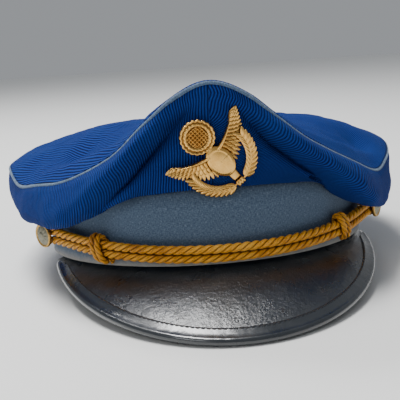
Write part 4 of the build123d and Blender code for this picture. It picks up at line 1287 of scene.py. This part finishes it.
def button_cap(name, side, body, node_name):
    centre, out, along, up_way = button_place(side)
    radii, heights = np.array(BUTTON_PROFILE).T
    count = 72
    angle = np.linspace(0, 2 * np.pi, count, endpoint=False)
    rays = 0.13 * np.cos(BUTTON_RAYS * angle)[None, :] * np.exp(-((radii - 3.7) / 1.2)**2)[:, None]
    rope = 0.08 * np.cos(BUTTON_ROPE_TURNS * angle)[None, :] * np.exp(-((radii - 6.5) / 0.4)**2)[:, None]
    rise = BUTTON_FACE + heights[:, None] + rays + rope
    ring = np.cos(angle)[None, :, None] * along + np.sin(angle)[None, :, None] * up_way
    points = centre + radii[:, None, None] * ring + rise[..., None] * out
    obj = grid_piece(name, points, points[..., :2], wrap_columns=True)
    work = bmesh.new()
    work.from_mesh(obj.data)
    work.verts.ensure_lookup_table()
    work.faces.new([work.verts[i] for i in range(count)])
    bmesh.ops.remove_doubles(work, verts=work.verts, dist=1e-6)
    bmesh.ops.recalc_face_normals(work, faces=work.faces)
    work.to_mesh(obj.data)
    work.free()
    finish_piece(obj, rim_brass, body)
    obj.data.materials.append(dull_brass)
    middle = Vector(to_row(centre))
    axis = Vector(to_row(centre + out) - to_row(centre)).normalized()
    for face in obj.data.polygons:
        away = Vector(face.center) - middle
        height = away.dot(axis)
        if (away - axis * height).length < BUTTON_INNER_FACE * MM and height > (BUTTON_FACE + 1) * MM:
            face.material_index = 1
    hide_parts(node_name)
    print(name, len(obj.data.polygons), "faces")


button_cap("button_left_face", -1, "button_left", "button_left_cap")
button_cap("button_right_face", 1, "button_right", "button_right_cap")

# %% [markdown]
# ## The badge
#
# The badge stands turned on its post. It is struck as separate parts soldered to one bar: a pair
# of feathered wings, a wreath of leaves below, a round scalloped medallion above and an oval boss
# in the middle. The post is soldered a little to one side of the boss, so the whole badge sits
# toward its own left. Everything is worked out in the badge's own plane, and each part is a closed
# shell so that it casts a clean shadow.

# %% Badge tools
BADGE_TURN = math.radians(41.0)
badge_post = Vector(joints["badge_turn"]["pos_m"])
badge_out = Vector(joints["badge_turn"]["axis"]).normalized()
badge_up = (cap_up - badge_out * cap_up.dot(badge_out)).normalized()
badge_right = badge_up.cross(badge_out)
badge_x = badge_right * math.cos(BADGE_TURN) + badge_up * math.sin(BADGE_TURN)
badge_y = badge_out.cross(badge_x)
BADGE_STAND = 1.7
BADGE_SHIFT = -5.0
badge_frame = np.array([list(badge_x), list(badge_y), list(badge_out)])


def to_badge(points):
    """Points in the badge's own plane, in mm (x across, y up, z out from its back), to metres."""
    local = np.asarray(points, float) + np.array([BADGE_SHIFT, 0, BADGE_STAND])
    return local @ badge_frame * MM + np.array(badge_post)


class BadgeMesh:
    """Collects the shells of one badge part, then makes them one mesh."""

    def __init__(self):
        self.points, self.faces = [], []

    def shell(self, top, base_height):
        """A grid of top points, closed by its own outline dropped to the base."""
        rows, columns = top.shape[:2]
        start = sum(len(p) for p in self.points)
        low = top.copy()
        low[..., 2] = base_height
        self.points += [top.reshape(-1, 3), low.reshape(-1, 3)]
        count = rows * columns
        upper = grid_faces(rows, columns, start=start)
        lower = [tuple(i + count for i in f[::-1]) for f in upper]
        rim = [(0, j) for j in range(columns)] + [(i, columns - 1) for i in range(1, rows)]
        rim += [(rows - 1, j) for j in range(columns - 2, -1, -1)] + [(i, 0) for i in range(rows - 2, 0, -1)]
        index = [start + i * columns + j for i, j in rim]
        walls = [(a, b, b + count, a + count) for a, b in zip(index, index[1:] + index[:1])]
        self.faces += upper + lower + walls

    def make(self, name, material, node_name):
        points = np.concatenate(self.points)
        obj = mesh_from_arrays(name, to_badge(points), self.faces, points[:, :2])
        work = bmesh.new()
        work.from_mesh(obj.data)
        bmesh.ops.remove_doubles(work, verts=work.verts, dist=2e-6)
        bmesh.ops.recalc_face_normals(work, faces=work.faces)
        work.to_mesh(obj.data)
        work.free()
        finish_piece(obj, material, "badge")
        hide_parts(node_name)
        return obj


print("badge leans", round(math.degrees(BADGE_TURN)), "degrees")

# %% [markdown]
# ### One shape for feathers and leaves
#
# A feather and a laurel leaf have the same form in a struck badge: pointed at the tip, crowned
# across, with a rib along the middle. Feathers add fine barbs and droop a little toward the tip.

# %% Leaf
def leaf(root, lean, length, width, height, crown, barbs=0, droop=0.0):
    """A leaf or feather: root (x, y), lean in radians, with a raised rib and optional barbs."""
    s = np.linspace(0, 1, 30)[:, None]
    w = np.linspace(-1, 1, 9)[None, :]
    outline = np.sin(np.pi * np.clip(s, 0.02, 0.985)**0.8)**0.55
    x = s * length + 0 * w
    y = w * width / 2 * outline - droop * s**2
    rise = height + crown * (1 - np.abs(w)**1.4) * outline + 0 * s
    if barbs:
        rise = rise + 0.09 * np.sin(2 * np.pi * barbs * (s - 0.22 * np.abs(w))) * np.abs(w)**0.5 * outline
    rise = rise + 0.16 * np.exp(-(w / 0.14)**2) * outline
    return np.stack([root[0] + x * math.cos(lean) - y * math.sin(lean),
                     root[1] + x * math.sin(lean) + y * math.cos(lean), rise], -1)


def mirrored(grid):
    """The same grid on the other side of the badge's middle line."""
    flipped = grid.copy()
    flipped[..., 0] *= -1
    return flipped


print("a leaf has", leaf((0, 0), 0, 5, 2, 1, 0.5)[..., 0].size, "points on its face")

# %% [markdown]
# ### Wings
#
# The feathers hang from the leading edge, turning from downward at the shoulder to outward at
# the tip, and two rows of shorter coverts lie over their roots.

# %% Wings
FEATHER_ROWS = ((0.7, 15, 11.5, 6.0, 2.9), (1.5, 13, 7.6, 4.4, 2.4), (2.2, 11, 4.4, 3.0, 1.9))
BAR_HALF_LENGTH = 14.5


def wing_edge(share):
    """The wing's leading edge, from the shoulder to the tip, in badge mm."""
    return np.stack([2.6 + 15.6 * share, 3.6 + 1.6 * share + 5.6 * share**1.8], -1)


wings = BadgeMesh()
for height, count, first_reach, last_reach, size in FEATHER_ROWS:
    for i in range(count):
        share = i / (count - 1)
        lean = math.radians(-78 + 100 * share**1.1)
        reach = first_reach + (last_reach - first_reach) * share
        grid = leaf(wing_edge(share), lean, reach, size, height, 0.5, barbs=6, droop=0.5)
        wings.shell(grid, 0.1)
        wings.shell(mirrored(grid), 0.1)
arm_s = np.linspace(0, 1, 30)[:, None]
arm_w = np.linspace(-1, 1, 9)[None, :]
arm_line = wing_edge(arm_s)
arm_half = 0.95 * (1 - 0.7 * arm_s)
arm = np.stack([arm_line[..., 0] - 0.5 * arm_w * arm_half, arm_line[..., 1] + arm_w * arm_half,
                2.6 + 0.8 * (1 - arm_w**2) - 0.9 * arm_s], -1)
wings.shell(arm, 0.4)
wings.shell(mirrored(arm), 0.4)
bar_s = np.linspace(-1, 1, 30)[:, None]
bar_half = 2.6 - 0.6 * bar_s**2
bar_rise = 1.1 + 0.3 * (1 - arm_w**2) + 0 * bar_s
bar = np.stack([arm_w * bar_half, BAR_HALF_LENGTH * bar_s + 0 * arm_w, bar_rise], -1)
wings.shell(bar, 0.0)
badge_wings = wings.make("badge_feathered_wings", gilt_brass, "badge_wings")
print("wings", len(badge_wings.data.polygons), "faces")

# %% [markdown]
# ### Medallion
#
# The medallion is a turned disc: a scalloped rim, two grooves and a quilted middle. It is made
# by a height for every distance from its centre, with the scallops and the quilting added by
# cosines, because a struck face has no undercuts.

# %% Medallion
MEDALLION_UP = 15.0
SCALLOPS = 20
QUILT_SHARE = 0.6
RING_SHARES = (0, 0.5, 0.62, 0.66, 0.70, 0.76, 0.82, 0.86, 0.90, 0.95, 1.0)
RING_HEIGHTS = (2.3, 2.25, 1.7, 2.75, 2.85, 2.75, 1.9, 1.8, 2.75, 2.8, 2.2)
medal = BadgeMesh()
turns_round = np.linspace(0, 2 * np.pi, 193)[:, None]
shares = np.concatenate([np.linspace(0.0, QUILT_SHARE, 22), RING_SHARES[2:]])[None, :]
outer = 8.3 + 0.6 * np.abs(np.sin(SCALLOPS / 2 * turns_round))**0.6
rise = np.interp(shares, RING_SHARES, RING_HEIGHTS)
radius = shares * outer
quilt_x, quilt_y = radius * np.cos(turns_round), radius * np.sin(turns_round)
quilt = 0.6 * np.cos(2.1 * (quilt_x + quilt_y)) * np.cos(2.1 * (quilt_x - quilt_y)) * (shares < QUILT_SHARE)
medal.shell(np.stack([quilt_x, quilt_y + MEDALLION_UP, rise + quilt + 0 * turns_round], -1), 1.3)
badge_medallion = medal.make("badge_round_medallion", gilt_brass, "badge_medallion")
print("medallion", len(badge_medallion.data.polygons), "faces")

# %% [markdown]
# ### Wreath
#
# Two sprigs meet at a tie below and curve up outside the wings. Leaves stand in pairs along each
# stem, one leaning in and one leaning out, at even steps round the same circle as the stem.

# %% Wreath
WREATH_RADIUS = 16.2
LEAF_PAIRS, LEAF_STEP = 11, 7.6
wreath = BadgeMesh()
for side in (-1, 1):
    for i in range(LEAF_PAIRS):
        bearing = math.radians(-90 + side * (12 + LEAF_STEP * i))
        for inner in (-1, 1):
            root = (WREATH_RADIUS * math.cos(bearing), WREATH_RADIUS * math.sin(bearing))
            lean = bearing + side * math.radians(90 - inner * 32)
            wreath.shell(leaf(root, lean, 5.2, 2.3, 1.9 + 0.1 * inner, 0.5), 1.3)
    stem = np.radians(-90 + side * np.linspace(2, 94, 40))[:, None]
    stem_w = np.linspace(-1, 1, 5)[None, :]
    stem_radius = WREATH_RADIUS + 0.55 * stem_w
    stem_rise = 1.9 + 0.35 * (1 - stem_w**2) + 0 * stem
    wreath.shell(np.stack([stem_radius * np.cos(stem), stem_radius * np.sin(stem), stem_rise], -1), 1.3)
tie_w, tie_s = np.meshgrid(np.linspace(-1, 1, 9), np.linspace(-1, 1, 15))
tie_rise = 2.3 + 0.7 * (1 - tie_w**2) + 0.12 * np.cos(9 * tie_s)
wreath.shell(np.stack([2.2 * tie_s, 1.5 * tie_w - WREATH_RADIUS, tie_rise], -1), 1.2)
badge_wreath = wreath.make("badge_laurel_wreath", gilt_brass, "badge_wreath")
print("wreath", len(badge_wreath.data.polygons), "faces")

# %% [markdown]
# ### Boss
#
# The middle is a plain oval dome with a raised line near its edge, where a device would be.

# %% Boss
BOSS_HALF_WIDTH, BOSS_HALF_HEIGHT, BOSS_DOWN = 6.2, 8.6, 1.6
boss = BadgeMesh()
boss_turn = np.linspace(0, 2 * np.pi, 97)[:, None]
boss_share = np.linspace(0, 1, 15)[None, :]
boss_rise = 1.7 + 1.9 * np.sqrt(np.clip(1 - (0.93 * boss_share)**2, 0, 1))
boss_rise = boss_rise + 0.30 * np.exp(-((boss_share - 0.80) / 0.05)**2) + 0 * boss_turn
boss_x = BOSS_HALF_WIDTH * boss_share * np.cos(boss_turn)
boss_y = BOSS_HALF_HEIGHT * boss_share * np.sin(boss_turn) - BOSS_DOWN
boss.shell(np.stack([boss_x, boss_y, boss_rise], -1), 1.2)
badge_boss = boss.make("badge_oval_boss", gilt_brass, "badge_boss")
print("boss", len(badge_boss.data.polygons), "faces")

# %% [markdown]
# ## Camera
#
# The cap is seen from just above and a little to one side, from arm's length, which is why the
# near visor looks wide. A slightly long lens and a small roll finish the view.

# %% Camera
CAMERA_PLACE = (-0.0521, -0.4335, 0.1347)
CAMERA_AHEAD = (0.10993, 0.96814, -0.22499)
CAMERA_UP = (0.08749, 0.21606, 0.97245)
SENSOR_WIDTH = 36.0
LENS = 63.099
camera_data = bpy.data.cameras.new("camera")
camera_data.sensor_width = SENSOR_WIDTH
camera_data.lens = LENS
camera = bpy.data.objects.new("camera", camera_data)
bpy.context.scene.collection.objects.link(camera)
forward = Vector(CAMERA_AHEAD).normalized()
camera_side = forward.cross(Vector(CAMERA_UP).normalized()).normalized()
camera.matrix_world = Matrix.Translation(CAMERA_PLACE) @ Matrix(
    (camera_side, camera_side.cross(forward), -forward)).transposed().to_4x4()
bpy.context.scene.camera = camera
print("camera lens", camera_data.lens, "mm")

# %% [markdown]
# ## Light and floor
#
# The light is soft. One wide lamp hangs overhead, a small one behind on the left puts the mottled
# shine on the visor, and a weak one in front lifts the shadows under the crown. A pale floor and
# backdrop fill the reflections in the patent leather.

# %% Light and floor
FLOOR_HALF = 3.0


def area_light(name, place, aim, size, power):
    data = bpy.data.lights.new(name, "AREA")
    data.shape = "RECTANGLE"
    data.size, data.size_y = size
    data.energy = power
    light = bpy.data.objects.new(name, data)
    light.location = place
    light.rotation_euler = (Vector(aim) - Vector(place)).to_track_quat("-Z", "Y").to_euler()
    bpy.context.scene.collection.objects.link(light)


area_light("overhead", (-0.30, 0.10, 1.5), (0, 0, 0.03), (0.7, 0.5), 31)
area_light("back_left", (-0.55, 0.80, 1.25), (0, -0.1, 0.03), (0.35, 0.25), 10)
area_light("front_left", (-0.9, -1.1, 0.8), (0, 0, 0.05), (0.5, 0.5), 3)

world = bpy.data.worlds.new("studio")
bpy.context.scene.world = world
world.use_nodes = True
world.node_tree.nodes["Background"].inputs["Color"].default_value = hex_colour("#cfd3d8")
world.node_tree.nodes["Background"].inputs["Strength"].default_value = 0.50

floor_mesh = bpy.data.meshes.new("floor")
floor_mesh.from_pydata([(-FLOOR_HALF, -FLOOR_HALF, 0), (FLOOR_HALF, -FLOOR_HALF, 0),
                        (FLOOR_HALF, FLOOR_HALF, 0), (-FLOOR_HALF, FLOOR_HALF, 0)], [], [(0, 1, 2, 3)])
floor = bpy.data.objects.new("floor", floor_mesh)
bpy.context.scene.collection.objects.link(floor)
floor_paint, _, floor_shader, _, _ = start_material("floor_matt_white")
floor_shader.inputs["Base Color"].default_value = hex_colour("#efefed")
floor_shader.inputs["Roughness"].default_value = 0.55
floor_mesh.materials.append(floor_paint)
